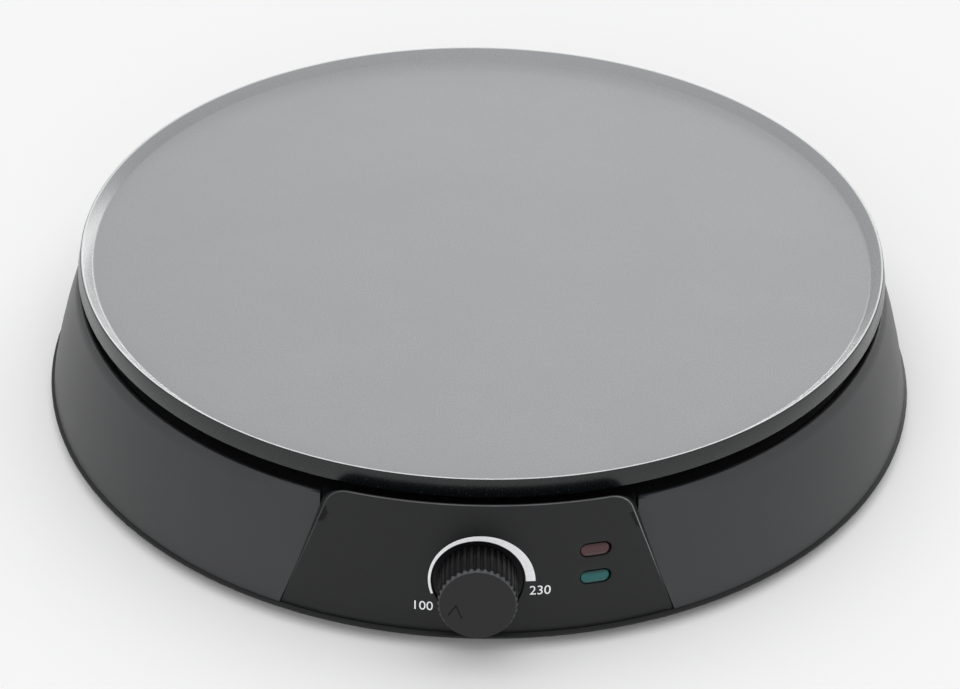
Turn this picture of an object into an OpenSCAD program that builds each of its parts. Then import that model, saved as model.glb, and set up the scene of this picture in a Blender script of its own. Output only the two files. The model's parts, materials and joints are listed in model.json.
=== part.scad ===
// Electric crepe maker: a shallow-rimmed round hotplate carried over a low round
// base, with a control panel that stands proud of the base, a thermostat knob in a
// shallow well and two signal lamps. Millimetres, +Z up, the panel faces -Y.
// The origin is on the plate's axis, at the height of the surface the feet stand on.
// Heights called "above the flange" start from the underside of the base's flange.

/* [Cooking plate] */
// Diameter over the plate's rim
plate_d = 305; // [260:1:370]
// Height of the plate's outer side
plate_h = 6.5; // [5.5:0.1:12]
// How far the side flares out towards its lower edge
plate_flare = 1.2; // [0:0.1:3]
// Depth of the cooking surface under the rim
dish_depth = 4; // [2:0.1:5]
// Width of the slope between the rim and the cooking surface
dish_slope = 4.4; // [3:0.1:12]
// Width of the rounded crest of the rim
crest_w = 1.2; // [0.8:0.1:3]
// Thickness of the casting under the cooking surface
web_t = 3.2; // [2.5:0.1:6]
// Distance of the plate's screw bosses from the axis
boss_circle_r = 140; // [115:1:141]
// Height of the open gap between the base and the plate
air_gap = 6; // [4:0.1:15]

/* [Heating element] */
// Radius of the element's ring
ring_r = 88; // [60:1:100]
// Diameter of the heating tube
tube_d = 6.6; // [5:0.1:8]
// Half of the angle left open between the ring's ends
ring_gap = 15; // [12:1:40]
// Number of ribs from the element channel to the rim
rib_count = 12; // [6:1:24]

/* [Base] */
// Height of the housing's rim above the flange
housing_h = 43.3; // [40:0.1:60]
// Thickness of the moulded walls
wall_t = 2.5; // [2:0.1:3]
// How far the housing's rim stands outside the plate's side
rim_overhang = 0.4; // [0:0.1:3]
// How far the housing's foot spreads beyond its rim
base_spread = 12.7; // [6:0.1:20]
// Outward bow of the housing's wall
wall_bow = 1; // [0:0.1:2]
// How far the bottom flange stands out under the wall
flange_lip = 1.2; // [0.5:0.1:4]
// Thickness of the bottom flange
flange_t = 1.1; // [1:0.1:1.7]
// Seam between the flange and the walls above it
seam_h = 0.3; // [0.2:0.1:0.6]
// Thickness of the bottom cover
cover_t = 2; // [1.8:0.1:3]
// Height of the feet
foot_h = 5; // [3:0.1:15]
// Diameter of the feet
foot_d = 19; // [14:1:30]
// Distance of the feet from the axis
foot_circle_r = 135; // [90:1:145]

/* [Control panel] */
// Lean of the panel from upright, in degrees
panel_tilt = 8.5; // [5:0.5:15]
// How far the panel's top stands above the housing's rim
panel_rise = 7.2; // [2:0.1:9]
// Width of the panel at its top, between the corners' straight lines
panel_top_w = 95.8; // [92:0.1:110]
// Width of the panel at its bottom
panel_foot_w = 134.3; // [125:0.1:150]
// Radius of the panel's top corners
panel_corner_r = 8.5; // [4:0.1:12]
// Wall of the panel
panel_t = 2.2; // [1.8:0.1:3]
// Gap beside the panel at the housing's rim
gap_top = 2.4; // [0.5:0.1:4]
// Gap beside the panel at its foot
gap_foot = 0.3; // [0.2:0.1:1]

/* [Knob] */
// Diameter of the knob
knob_d = 26.4; // [20:0.1:29]
// How far the knob's face stands in front of the panel
knob_proud = 14.3; // [10:0.1:20]
// Height of the knob's axis above the flange
knob_z = 21.6; // [20:0.1:24]
// Width of the knob's slanting front edge, seen from the front
knob_edge = 0.6; // [0.3:0.1:1.5]
// Depth of the knob's front edge, seen from the side
knob_edge_h = 1.3; // [0.3:0.1:2]
// Number of flutes
flute_count = 36; // [20:1:60]
// Depth of the flutes
flute_depth = 0.6; // [0.2:0.05:1]
// Radius of the well around the knob
well_r = 15.3; // [15:0.1:18]
// Depth of the well
well_depth = 2; // [1:0.1:2.5]

/* [Thermostat] */
// Diameter of the setting spindle
spindle_d = 6; // [5:0.1:7]
// Advance of the spindle for one turn of the knob
spindle_lead = 1; // [0.5:0.05:1]
// Distance of the thermostat's frame behind the panel's face
frame_back = 12; // [11.5:0.1:14]
// Width of the contact blades
blade_w = 7; // [5:0.1:8]

/* [Signal lamps] */
// Sideways angle of the lamps from the knob, seen from the axis
lamp_az = 14.1; // [12:0.1:16]
// Height of the upper lamp above the flange
lamp_hi_z = 31.7; // [30:0.1:34]
// Height of the lower lamp above the flange
lamp_lo_z = 20.8; // [18:0.1:22]
// Width of a lamp's window
window_w = 10.6; // [8:0.1:12]
// Height of a lamp's window
window_h = 5.4; // [4:0.1:7]
// How far a lens's edge lies behind the panel's face
lens_sink = 0.6; // [0:0.1:1]

/* [Cord inlet] */
// Diameter of the passage for the cord
inlet_d = 7.4; // [6:0.1:9]
// Height of the passage above the flange
inlet_z = 11; // [10:0.1:14]

/* [Fits] */
// Radial clearance of a part that turns or slides in another
run_fit = 0.05; // [0.02:0.01:0.1]
// Radial clearance of a screw in its thread, which is left plain
thread_fit = 0.05; // [0.02:0.01:0.1]
// Radial clearance of a screw or pin in a free hole
free_fit = 0.3; // [0.2:0.05:0.6]
// Radial clearance of the heating tube in its channel
tube_fit = 0.15; // [0.05:0.05:0.4]
// Clearance around a lens in its window
lens_fit = 0.3; // [0.1:0.05:0.5]

/* [Hidden] */

round_fn = 160;
part_fn = 48;
small_fn = 32;
eps = 0.01;

// Heights above the flange
plate_z = housing_h + air_gap;
plate_top = plate_z + plate_h;
surface_z = plate_top - dish_depth;
web_z = surface_z - web_t;
ledge_z = housing_h - 4.5;
panel_top = housing_h + panel_rise;
wall_z = flange_t + seam_h;

// Radii
plate_r = plate_d / 2;
rim_r = plate_r + plate_flare + rim_overhang;
wall_foot_r = rim_r + base_spread;
base_r = wall_foot_r + flange_lip;
panel_foot_r = wall_foot_r - 0.5;
panel_foot_z = 3;
panel_back_hi = panel_r(panel_top) - panel_t;
panel_back_lo = rim_r - 4.1;
cover_r = wall_foot_r - wall_t - 2;

// Shield, its seat and the plate's stand-offs
shield_t = 0.8;
shield_top = ledge_z + shield_t;
shield_drop = 4;
shield_r = rim_r - 4.6;
pan_r = boss_circle_r - 8;
spacer_h = 3;
boss_z = shield_top + spacer_h;
boss_r = 5;
boss_angles = [45, 135, 225, 315];
lug_t = 3;
lug_w = 16;

// Screws
m4_r = 2;
m3_r = 1.5;
m2_r = 1;
bite = 5;

// Element
tube_r = tube_d / 2;
tube_z = web_z - 3.7;
channel_wall = 2.4;
elbow_r = 8;
leg_l = 8;
leg_z = tube_z - elbow_r - leg_l;
collar_l = 4;
collar_t = 0.5;

// Thermostat, measured along the knob's axis (w outwards, v upwards)
spindle_r = spindle_d / 2;
knob_turn = 200;
travel = spindle_lead * knob_turn / 360;
end_gap = 0.3;
frame_t = 1.2;
frame_w = -frame_back - frame_t;
frame_x = [-18, 21];
frame_v = 8;
flange_back = 24;
bush_r = 5;
bush_front = 6.5;
stack_x = 15;
stack_r = 5;
disc_t = [3.5, 3, 3];
blade_t = 0.5;
bimetal_t = 0.9;
blade_a_w = frame_w - disc_t[0];
blade_b_w = blade_a_w - blade_t - disc_t[1];
bimetal_w = blade_b_w - blade_t - disc_t[2];
stack_end = bimetal_w - bimetal_t;
contact_x = -12;
pin_r = 1.5;
pin_l = 2;
pin_tip_w = blade_a_w + 0.25;
spindle_in = pin_tip_w + pin_l;
spindle_out = 10;
flat_v = spindle_r - 1;

// Posts of the bottom cover's screws
post_angles = [10, 55, 125, 170, 230, 310];
post_r = 4;
post_top = 20;
post_circle_r = wall_r(post_top) - wall_t - 9;

// Feet
foot_angles = [45, 135, 225, 315];
cover_boss_h = 6;

// Ribs and vents of the bottom cover
rib_rings = [40, 84];
cover_rib_h = 2.5;
vent_rows = [52, 68];
vent_count = 24;
vent_l = 11;
vent_w = 3;

// Cord inlet
gland_w = 16;
gland_top = inlet_z + 8;
inlet_r = inlet_d / 2;
// The inlet's collar ends as far behind the axis as the knob stands in front of it,
// so that the origin is the middle of the object's box.
front_reach = panel_r(knob_z) + knob_proud * cos(panel_tilt) + (knob_d / 2 - knob_edge) * sin(panel_tilt);

// Radius of the housing's wall, outside, at a height above the flange: a straight
// slope with a parabolic bow.
function wall_r(z) =
    let (t = (z - wall_z) / (housing_h - wall_z))
    wall_foot_r + t * (rim_r - wall_foot_r) + 4 * wall_bow * t * (1 - t);

// Radius of the panel's face at a height above the flange
function panel_r(z) = panel_foot_r - tan(panel_tilt) * (z - panel_foot_z);

// Half width of the panel at a height above the flange
function panel_half(z) =
    let (t = (z - wall_z) / (panel_top - wall_z))
    panel_foot_w / 2 + t * (panel_top_w - panel_foot_w) / 2;

// Points of an arc around c, from angle a to angle b
function arc(c, r, a, b, n = 6) =
    [for (i = [0:n]) let (t = a + (b - a) * i / n) c + r * [cos(t), sin(t)]];

// The panel's outline seen from the front, drawn in by d: a trapezoid whose top
// corners are arcs tangent to its top and its slanting sides.
function panel_outline(d) =
    let (lean = atan((panel_foot_w - panel_top_w) / 2 / (panel_top - wall_z)),
         side = d / cos(lean),
         top = panel_top - d,
         r = panel_corner_r - d,
         cy = top - r,
         cx = panel_half(cy) - side - r / cos(lean),
         low = wall_z - d,
         foot = panel_half(low) - side,
         right = arc([cx, cy], r, lean, 90),
         left = arc([-cx, cy], r, 90, 180 - lean))
    concat([[-foot, low], [foot, low]], right, left);

// A point of the thermostat's side view as [y, z]: w along the axis, v above it
function side_at(w, v) = [
    -panel_r(knob_z) - w * cos(panel_tilt) + v * sin(panel_tilt),
    knob_z + w * sin(panel_tilt) + v * cos(panel_tilt)
];

module above_feet() translate([0, 0, foot_h]) children();

// Puts its children on the panel's face: x sideways, y up the face, z outwards
module on_panel(az, z)
    rotate([0, 0, az]) translate([0, -panel_r(z), z]) rotate([90 - panel_tilt, 0, 0])
        children();

module on_axis() above_feet() on_panel(0, knob_z) children();

module on_lamp_side() above_feet() on_panel(lamp_az, (lamp_hi_z + lamp_lo_z) / 2) children();

module polar(angles, r) for (a = angles) rotate([0, 0, a]) translate([r, 0, 0]) children();

module ring(r_in, r_out, h) rotate_extrude($fn = round_fn) translate([r_in, 0]) square([r_out - r_in, h]);

// Pan-head screw: the head's seat is z = 0, the shank runs up to l
module screw(r, l) {
    head_r = r * 1.9;
    head_h = r * 1.3;
    difference() {
        union() {
            cylinder(r = r, h = l, $fn = small_fn);
            rotate_extrude($fn = small_fn)
                polygon([[0, 0], [head_r, 0], [head_r, -head_h * 0.5],
                    [head_r * 0.8, -head_h], [0, -head_h]]);
        }
        for (a = [0, 90])
            rotate([0, 0, a]) translate([-head_r * 0.55, -r * 0.16, -head_h - eps])
                cube([head_r * 1.1, r * 0.32, head_h * 0.6]);
    }
}

// A stadium, w wide and h high, t thick
module stadium(w, h, t)
    linear_extrude(t) union() {
        square([w - h, h], center = true);
        for (s = [-1, 1]) translate([s * (w - h) / 2, 0]) circle(d = h, $fn = small_fn);
    }

// The plate's section: flared side, rounded crest, slope, dished cooking surface,
// and under it a web of even thickness that ends in the rim's skirt.
module plate_section() {
    crest = crest_w / 2;
    skirt_t = 2.4;
    lower = 0.4;
    slope_top = plate_r - crest_w;
    side_r = plate_r + plate_flare;
    fall = atan((dish_depth - crest) / dish_slope);
    foot = 2;
    foot_r = slope_top - dish_slope - foot * tan(fall / 2);
    polygon(concat(
        [[0, web_z], [slope_top - dish_slope - 1, web_z],
            [plate_r - skirt_t, web_z + web_t - 0.4], [side_r - skirt_t, plate_z]],
        arc([side_r - lower, plate_z + lower], lower, -90, 0, 3),
        arc([plate_r - crest, plate_top - crest], crest, 0, 125, 8),
        arc([foot_r, surface_z + foot], foot, fall - 90, -90, 4),
        [[0, surface_z]]));
}

module cooking_plate() color("silver") above_feet() difference() {
    channel_r = tube_r + channel_wall;
    union() {
        rotate_extrude($fn = round_fn) plate_section();
        translate([0, 0, tube_z - 1]) element_arc() translate([ring_r - channel_r, 0])
            square([2 * channel_r, web_z - tube_z + 1 + eps]);
        polar(boss_angles, boss_circle_r) translate([0, 0, boss_z])
            cylinder(r = boss_r, h = web_z - boss_z + eps, $fn = part_fn);
        for (i = [0:rib_count - 1])
            rotate([0, 0, (i + 0.5) * 360 / rib_count])
                translate([ring_r + channel_r - 1, -1.25, web_z - 2.6])
                    cube([plate_r - 11 - ring_r - channel_r, 2.5, 2.6 + eps]);
        bracket_pad();
        fuse_pad();
        earth_pad();
    }
    rotate_extrude($fn = round_fn) union() {
        translate([ring_r, tube_z]) circle(r = tube_r + tube_fit, $fn = part_fn);
        translate([ring_r - tube_r - tube_fit, tube_z - 2]) square([2 * (tube_r + tube_fit), 2]);
    }
    both_sides() collar_room();
    polar(boss_angles, boss_circle_r) translate([0, 0, boss_z - eps])
        cylinder(r = m4_r + thread_fit, h = bite + eps, $fn = small_fn);
    translate([0, -bracket_r, boss_z - eps])
        cylinder(r = m4_r + thread_fit, h = bite + eps, $fn = small_fn);
    fuse_place() translate([fuse_screw_x, 0, -eps])
        cylinder(r = m3_r + thread_fit, h = bite, $fn = small_fn);
    rotate([0, 0, earth_az]) translate([earth_r, 0, boss_z - eps])
        cylinder(r = m4_r + thread_fit, h = bite + eps, $fn = small_fn);
}

// Where the thermostat's bracket hangs from the plate
bracket_r = 124;
bracket_t = 1.2;
bracket_w = 14;
bracket_tab = 8;
bracket_z = boss_z;

module bracket_pad() translate([0, -bracket_r, boss_z])
    cylinder(r = bracket_w / 2, h = web_z - boss_z + eps, $fn = part_fn);

// Thermal fuse under the plate
fuse_r = 2;
fuse_l = 14;
fuse_xy = [-48, -30];
fuse_az = 32;
fuse_pad_h = 2;
fuse_screw_x = 6.5;
fuse_pad_z = web_z - fuse_pad_h;

module fuse_place() translate([fuse_xy.x, fuse_xy.y, fuse_pad_z]) rotate([0, 0, fuse_az]) children();

module fuse_pad() fuse_place() translate([-7, -8, 0]) cube([18, 16, fuse_pad_h + eps]);

// Earth screw under the plate
earth_az = 62;
earth_r = 110;

module earth_pad() rotate([0, 0, earth_az]) translate([earth_r, 0, boss_z])
    cylinder(r = boss_r, h = web_z - boss_z + eps, $fn = part_fn);

// Sweeps a section along the arc that the element's ring covers
module element_arc() rotate([0, 0, 90 + ring_gap])
    rotate_extrude(angle = 360 - 2 * ring_gap, $fn = round_fn) children();

// One end of the element: a crimped collar, an elbow and a straight leg
module element_end() {
    a = 90 - ring_gap;
    translate([ring_r * cos(a), ring_r * sin(a), tube_z]) rotate([0, 0, a + 90]) {
        translate([-collar_l / 2, 0, 0]) rotate([0, 90, 0])
            cylinder(r = tube_r + collar_t, h = collar_l, $fn = part_fn);
        translate([0, 0, -elbow_r]) rotate([90, 0, 0]) rotate_extrude(angle = 90, $fn = part_fn)
            translate([elbow_r, 0]) circle(r = tube_r, $fn = part_fn);
        translate([elbow_r, 0, -elbow_r - leg_l]) cylinder(r = tube_r, h = leg_l, $fn = part_fn);
    }
}

// Puts its children under the end of the element's right leg
module at_leg() {
    a = 90 - ring_gap;
    above_feet() translate([ring_r * cos(a), ring_r * sin(a), leg_z]) rotate([0, 0, a + 90])
        translate([elbow_r, 0, 0]) children();
}

module both_sides() {
    children();
    mirror([1, 0, 0]) children();
}

module heating_element() color("dimgray") above_feet() {
    translate([0, 0, tube_z]) element_arc() translate([ring_r, 0]) circle(r = tube_r, $fn = part_fn);
    both_sides() element_end();
}

// Room for the collar between the ends of the channel
module collar_room() {
    a = 90 - ring_gap;
    translate([ring_r * cos(a), ring_r * sin(a), tube_z]) rotate([0, 0, a + 90])
        translate([-collar_l / 2 - 0.5, -tube_r - collar_t - tube_fit, -4])
            cube([collar_l + 1, 2 * (tube_r + collar_t + tube_fit), 4 + tube_r + collar_t + tube_fit]);
}

bead_h = 5;
terminal_pin_r = 1.2;

module element_insulators() color("white") both_sides() at_leg() difference() {
    translate([0, 0, -bead_h]) cylinder(r1 = tube_r, r2 = tube_r + 0.6, h = bead_h, $fn = part_fn);
    translate([0, 0, -bead_h - eps])
        cylinder(r = terminal_pin_r + run_fit, h = bead_h + 2 * eps, $fn = small_fn);
}

module element_tabs() color("gold") both_sides() at_leg() {
    translate([0, 0, -bead_h - 3]) cylinder(r = terminal_pin_r, h = bead_h + 3, $fn = small_fn);
    translate([-3.15, -0.4, -bead_h - 11]) difference() {
        cube([6.3, 0.8, 9]);
        translate([3.15, -eps, 3]) rotate([-90, 0, 0]) cylinder(r = 0.9, h = 1, $fn = small_fn);
    }
}

// The shield's section: a flat seat, a drawn slope and a sunk floor
module shield_section() {
    low = ledge_z - shield_drop;
    polygon([[0, low], [pan_r - 5, low], [pan_r, ledge_z], [shield_r, ledge_z],
        [shield_r, shield_top], [pan_r - 0.4, shield_top],
        [pan_r - 5.4, low + shield_t], [0, low + shield_t]]);
}

window_half = bracket_w / 2 + 3;

module heat_shield() color([0.14, 0.14, 0.15]) above_feet() difference() {
    rotate_extrude($fn = round_fn) shield_section();
    polar(boss_angles, boss_circle_r) translate([0, 0, ledge_z - 1])
        cylinder(r = m4_r + free_fit, h = 3, $fn = small_fn);
    translate([-window_half, side_at(-flange_back, frame_v)[0] - 4, ledge_z - shield_drop - 1])
        cube([2 * window_half, 9, shield_drop + 3]);
    both_sides() translate([0, 0, -foot_h]) at_leg() translate([0, 0, -1])
        cylinder(r = tube_r + 2.5, h = 14, $fn = part_fn);
    for (i = [0:5]) rotate([0, 0, 30 + i * 60]) translate([46, -2, ledge_z - shield_drop - 1])
        cube([16, 4, 3]);
}

module plate_spacers() color([0.14, 0.14, 0.15]) above_feet()
    polar(boss_angles, boss_circle_r) translate([0, 0, shield_top]) difference() {
        cylinder(r = boss_r, h = spacer_h, $fn = part_fn);
        translate([0, 0, -eps]) cylinder(r = m4_r + free_fit, h = spacer_h + 2 * eps, $fn = small_fn);
    }

module plate_screws() color("lightgray") above_feet()
    polar(boss_angles, boss_circle_r) translate([0, 0, ledge_z - lug_t])
        screw(m4_r, boss_z + bite - 0.5 - ledge_z + lug_t);

// The housing's section: a bowed sloping wall that thins out to a rounded rim
module wall_section() {
    n = 10;
    lip = 0.5;
    rim_t = 1.3;
    zs = [for (i = [0:n]) wall_z + (housing_h - lip - wall_z) * i / n];
    polygon(concat(
        [for (z = zs) [wall_r(z), z]],
        arc([rim_r - lip, housing_h - lip], lip, 0, 90, 4),
        [[rim_r - rim_t, housing_h]],
        [for (i = [n - 1:-1:0]) [wall_r(zs[i]) - wall_t, zs[i]]]));
}

// The opening in the housing that the panel stands in: its sides follow the panel's
// slanting sides, and go straight up near the rim
module panel_opening() {
    low = wall_z - 1;
    high = housing_h + 1;
    half_low = panel_half(low) + gap_foot;
    half_top = panel_half(housing_h) + gap_top;
    slant = (panel_foot_w - panel_top_w) / 2 / (panel_top - wall_z);
    knee = housing_h - (gap_top - gap_foot) / slant;
    translate([0, -panel_back_lo + 25, 0]) rotate([90, 0, 0]) linear_extrude(60)
        polygon([[-half_low, low], [half_low, low], [half_top, knee], [half_top, high],
            [-half_top, high], [-half_top, knee]]);
}

// Screw lug under the shield's seat, with two gussets down the wall
module housing_lug() {
    lug_in = boss_circle_r - 8;
    lug_out = wall_r(ledge_z) - wall_t / 2 - 0.8;
    gusset = 12;
    foot_out = wall_r(ledge_z - lug_t - gusset) - wall_t / 2 - 0.8;
    translate([lug_in, -lug_w / 2, ledge_z - lug_t]) cube([lug_out - lug_in, lug_w, lug_t]);
    for (s = [-1, 1]) translate([0, s * (lug_w / 2 - 1) + 1, ledge_z - lug_t])
        rotate([90, 0, 0]) linear_extrude(2)
            polygon([[lug_in + 2, eps], [lug_out, eps], [foot_out, -gusset], [foot_out - 2, -gusset]]);
}

ear_z = 15;
ear_t = 2.5;
ear_r_in = panel_back_lo - 1;
ear_boss_r = 3.6;
ear_out = 5.8;
ear_az = asin((panel_half(ear_z) + ear_out) / ear_r_in);

module housing_ear_boss() above_ear() translate([0, 0, ear_t]) difference() {
    cylinder(r = ear_boss_r, h = wall_r(ear_z) - wall_t / 2 - ear_r_in - ear_t, $fn = part_fn);
    translate([0, 0, -eps]) cylinder(r = m3_r + thread_fit, h = bite + 1, $fn = small_fn);
}

// Puts its children on the inner face of the panel's right ear, z outwards
module above_ear() rotate([0, 0, ear_az]) translate([0, -ear_r_in, ear_z]) rotate([90, 0, 0])
    children();

module housing() color([0.10, 0.10, 0.11]) above_feet() {
    difference() {
        union() {
            rotate_extrude($fn = round_fn) wall_section();
            translate([0, 0, ledge_z - 2]) ring(rim_r - 10, wall_r(ledge_z) - wall_t / 2, 2);
            for (a = boss_angles) rotate([0, 0, a]) housing_lug();
            for (a = post_angles) rotate([0, 0, a]) {
                translate([post_circle_r, 0, cover_t])
                    cylinder(r = post_r, h = post_top - cover_t, $fn = part_fn);
                translate([post_circle_r + 1, -1, cover_t + 4])
                    cube([wall_r(post_top) - wall_t / 2 - post_circle_r - 1, 2, post_top - cover_t - 4]);
            }
        }
        panel_opening();
        polar(boss_angles, boss_circle_r) translate([0, 0, ledge_z - lug_t - 1])
            cylinder(r = m4_r + free_fit, h = lug_t + 2, $fn = small_fn);
        polar(post_angles, post_circle_r) translate([0, 0, cover_t - 1])
            cylinder(r = m3_r + thread_fit, h = 12, $fn = small_fn);
        translate([-gland_w / 2 - 0.25, wall_r(2) - 30, 0])
            cube([gland_w + 0.5, 40, gland_top + 0.3]);
    }
    both_sides() housing_ear_boss();
}

panel_edge = 0.5;

// The panel's solid, drawn in by d: the band of the leaning cone inside the outline,
// with its top front edge rounded
module panel_block(d) {
    top = panel_top - d;
    low = wall_z - 2;
    step = housing_h;
    edge_z = top - panel_edge;
    intersection() {
        rotate_extrude($fn = round_fn) polygon(concat(
            [[panel_back_lo - d * 4, low], [panel_r(low) - d, low]],
            arc([panel_r(edge_z) - d - panel_edge / cos(panel_tilt), edge_z], panel_edge,
                panel_tilt, 90, 5),
            [[panel_back_hi - d * 4, top], [panel_back_hi - d * 4, step],
                [panel_back_lo - d * 4, step]]));
        translate([0, -panel_back_lo + 40, 0]) rotate([90, 0, 0])
            linear_extrude(80) polygon(panel_outline(d));
    }
}

pillar_x = 8.5;
holder_w = -11;

module control_panel() color([0.12, 0.12, 0.13]) {
    difference() {
        union() {
            above_feet() difference() {
                panel_block(0);
                panel_block(panel_t);
                translate([0, 0, -1]) ring(panel_back_lo - 20, cover_r + 0.3, cover_t + 1);
            }
            on_axis() translate([0, 0, -well_depth - 2])
                cylinder(r = well_r + 2, h = well_depth + 0.6, $fn = part_fn);
            on_lamp_side() for (s = [-1, 1]) translate([s * pillar_x, 0, holder_w])
                cylinder(r = 2.2, h = -holder_w - 1, $fn = small_fn);
            above_feet() both_sides() panel_ear();
        }
        on_axis() {
            translate([0, 0, -well_depth]) cylinder(r = well_r, h = well_depth + 5, $fn = 96);
            translate([0, 0, -well_depth - 3])
                cylinder(r = spindle_r + 1.5, h = 5, $fn = part_fn);
        }
        for (z = [lamp_hi_z, lamp_lo_z]) above_feet() on_panel(lamp_az, z)
            translate([0, 0, -6]) stadium(window_w, window_h, 12);
        on_lamp_side() for (s = [-1, 1]) translate([s * pillar_x, 0, holder_w - eps])
            cylinder(r = m2_r + thread_fit, h = bite, $fn = small_fn);
        above_feet() both_sides() above_ear() translate([0, 0, -1])
            cylinder(r = m3_r + free_fit, h = ear_t + 2, $fn = small_fn);
    }
}

// Screw ear on the panel's right flank, behind the housing's wall
module panel_ear() rotate([0, 0, ear_az]) translate([-13, -ear_r_in - ear_t, ear_z - 6])
    cube([18, ear_t, 12]);

module panel_screws() color("lightgray") above_feet() both_sides() above_ear()
    screw(m3_r, ear_t + bite);

// Outline of the knob: a flat land and a rounded groove for every flute
function knob_outline(r) = [for (i = [0:flute_count - 1], k = [0:4])
    let (share = [-0.22, 0.22, 0.34, 0.5, 0.66],
         a = (i + share[k]) * 360 / flute_count,
         d = flute_depth * [0, 0, 0.8, 1, 0.8][k])
    (r - d) * [cos(a), sin(a)]];

knob_back = -well_depth + 0.6;
knob_wall = 2.2;
knob_face_t = 2.8;
pointer_a = knob_turn + 2;
pointer_tip = 10.5;
pointer_l = 4.1;
pointer_half = 2.8;
pointer_depth = 0.6;

// The sunk pointer: a triangle whose floor falls from one long edge to the far corner
module pointer() {
    lean = atan(pointer_half / pointer_l);
    across = pointer_l * sin(lean) + pointer_half * cos(lean);
    rotate([0, 0, pointer_a]) translate([pointer_tip, 0, knob_proud]) intersection() {
        translate([0, 0, -1]) linear_extrude(2)
            polygon([[0, 0], [-pointer_l, pointer_half], [-pointer_l, -pointer_half]]);
        rotate([0, 0, 180 - lean]) rotate([-atan(pointer_depth / across), 0, 0])
            translate([-5, -2, -3 * eps]) cube([15, 10, 3]);
    }
}

module knob() color([0.16, 0.16, 0.17]) on_axis() difference() {
    r = knob_d / 2;
    cup_top = knob_proud - knob_face_t;
    union() {
        difference() {
            intersection() {
                translate([0, 0, knob_back]) linear_extrude(knob_proud - knob_back)
                    polygon(knob_outline(r));
                rotate_extrude($fn = 96) polygon([[0, knob_back], [r + 5 * eps, knob_back],
                    [r + 5 * eps, knob_proud - knob_edge_h], [r - knob_edge, knob_proud],
                    [0, knob_proud]]);
            }
            translate([0, 0, knob_back - eps])
                cylinder(r = r - knob_wall, h = cup_top - knob_back, $fn = part_fn);
        }
        translate([0, 0, knob_back])
            cylinder(r = spindle_r + 2, h = cup_top - knob_back + eps, $fn = part_fn);
        for (a = [0:90:270]) rotate([0, 0, a + 45]) translate([spindle_r + 1, -0.7, knob_back + 3])
            cube([r - knob_wall - spindle_r - 0.5, 1.4, cup_top - knob_back - 3 + eps]);
    }
    difference() {
        translate([0, 0, knob_back - eps])
            cylinder(r = spindle_r + run_fit, h = spindle_out + travel + end_gap - knob_back, $fn = part_fn);
        translate([-5, flat_v + run_fit, travel + end_gap]) cube([10, 5, spindle_out + 2]);
    }
    pointer();
}

module thermostat_spindle() color("silver") on_axis() difference() {
    translate([0, 0, spindle_in]) cylinder(r = spindle_r, h = spindle_out - spindle_in, $fn = part_fn);
    translate([-5, flat_v, 0]) cube([10, 5, spindle_out + 1]);
    translate([0, 0, spindle_in - eps]) cylinder(r = pin_r - 0.3 + thread_fit, h = 1.6, $fn = small_fn);
}

module setting_pin() color("white") on_axis() translate([0, 0, pin_tip_w]) {
    translate([0, 0, 0.6]) cylinder(r = pin_r, h = pin_l - 0.6, $fn = small_fn);
    cylinder(r1 = pin_r - 0.6, r2 = pin_r, h = 0.6, $fn = small_fn);
    cylinder(r = pin_r - 0.3, h = pin_l + 1.4, $fn = small_fn);
}

module thermostat_frame() color("lightsteelblue") on_axis() difference() {
    union() {
        translate([frame_x[0], -frame_v, frame_w]) cube([frame_x[1] - frame_x[0], 2 * frame_v, frame_t]);
        translate([-bracket_w / 2, frame_v - frame_t, -flange_back])
            cube([bracket_w, frame_t, flange_back - frame_back]);
    }
    translate([0, 0, frame_w - 1]) cylinder(r = spindle_r + run_fit + 0.6, h = 3, $fn = part_fn);
    translate([stack_x, 0, frame_w - 1]) cylinder(r = pin_r + run_fit, h = 3, $fn = small_fn);
    for (s = [-1, 1]) translate([s * 4, frame_v + 1, -flange_back + 4.5]) rotate([90, 0, 0])
        cylinder(r = m2_r + thread_fit, h = 4, $fn = small_fn);
}

module thermostat_bush() color("goldenrod") on_axis() difference() {
    union() {
        translate([0, 0, -frame_back]) cylinder(r = bush_r, h = frame_back - bush_front, $fn = part_fn);
        translate([0, 0, frame_w]) cylinder(r = spindle_r + 0.6, h = frame_t + eps, $fn = part_fn);
    }
    translate([0, 0, frame_w - 1]) cylinder(r = spindle_r + run_fit, h = 12, $fn = part_fn);
}

// Ceramic discs between the frame and the blades
module thermostat_stack() color("antiquewhite") on_axis() translate([stack_x, 0, 0])
    for (d = [[blade_a_w, disc_t[0]], [blade_b_w, disc_t[1]], [bimetal_w, disc_t[2]],
            [stack_end - 1, 1]])
        translate([0, 0, d[0]]) difference() {
            cylinder(r = stack_r, h = d[1], $fn = part_fn);
            translate([0, 0, -eps]) cylinder(r = pin_r + run_fit, h = d[1] + 2 * eps, $fn = small_fn);
        }

module stack_rivet() color("silver") on_axis() translate([stack_x, 0, 0]) {
    translate([0, 0, stack_end - 1]) cylinder(r = pin_r, h = -frame_back - stack_end + 1, $fn = small_fn);
    translate([0, 0, stack_end - 2]) cylinder(r = pin_r + 1, h = 1, $fn = small_fn);
    translate([0, 0, -frame_back]) cylinder(r = pin_r + 1, h = 0.8, $fn = small_fn);
}

// A flat blade through the stack: rounded free end, narrower terminal tab
module blade(x_free, x_tab, t, w) translate([0, 0, -t]) linear_extrude(t) difference() {
    union() {
        translate([x_free, -w / 2]) square([stack_x + stack_r - x_free, w]);
        translate([x_free, 0]) circle(d = w, $fn = small_fn);
        translate([stack_x, -3.15]) square([x_tab - stack_x, 6.3]);
    }
    translate([stack_x, 0]) circle(r = pin_r + run_fit, $fn = small_fn);
}

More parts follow.
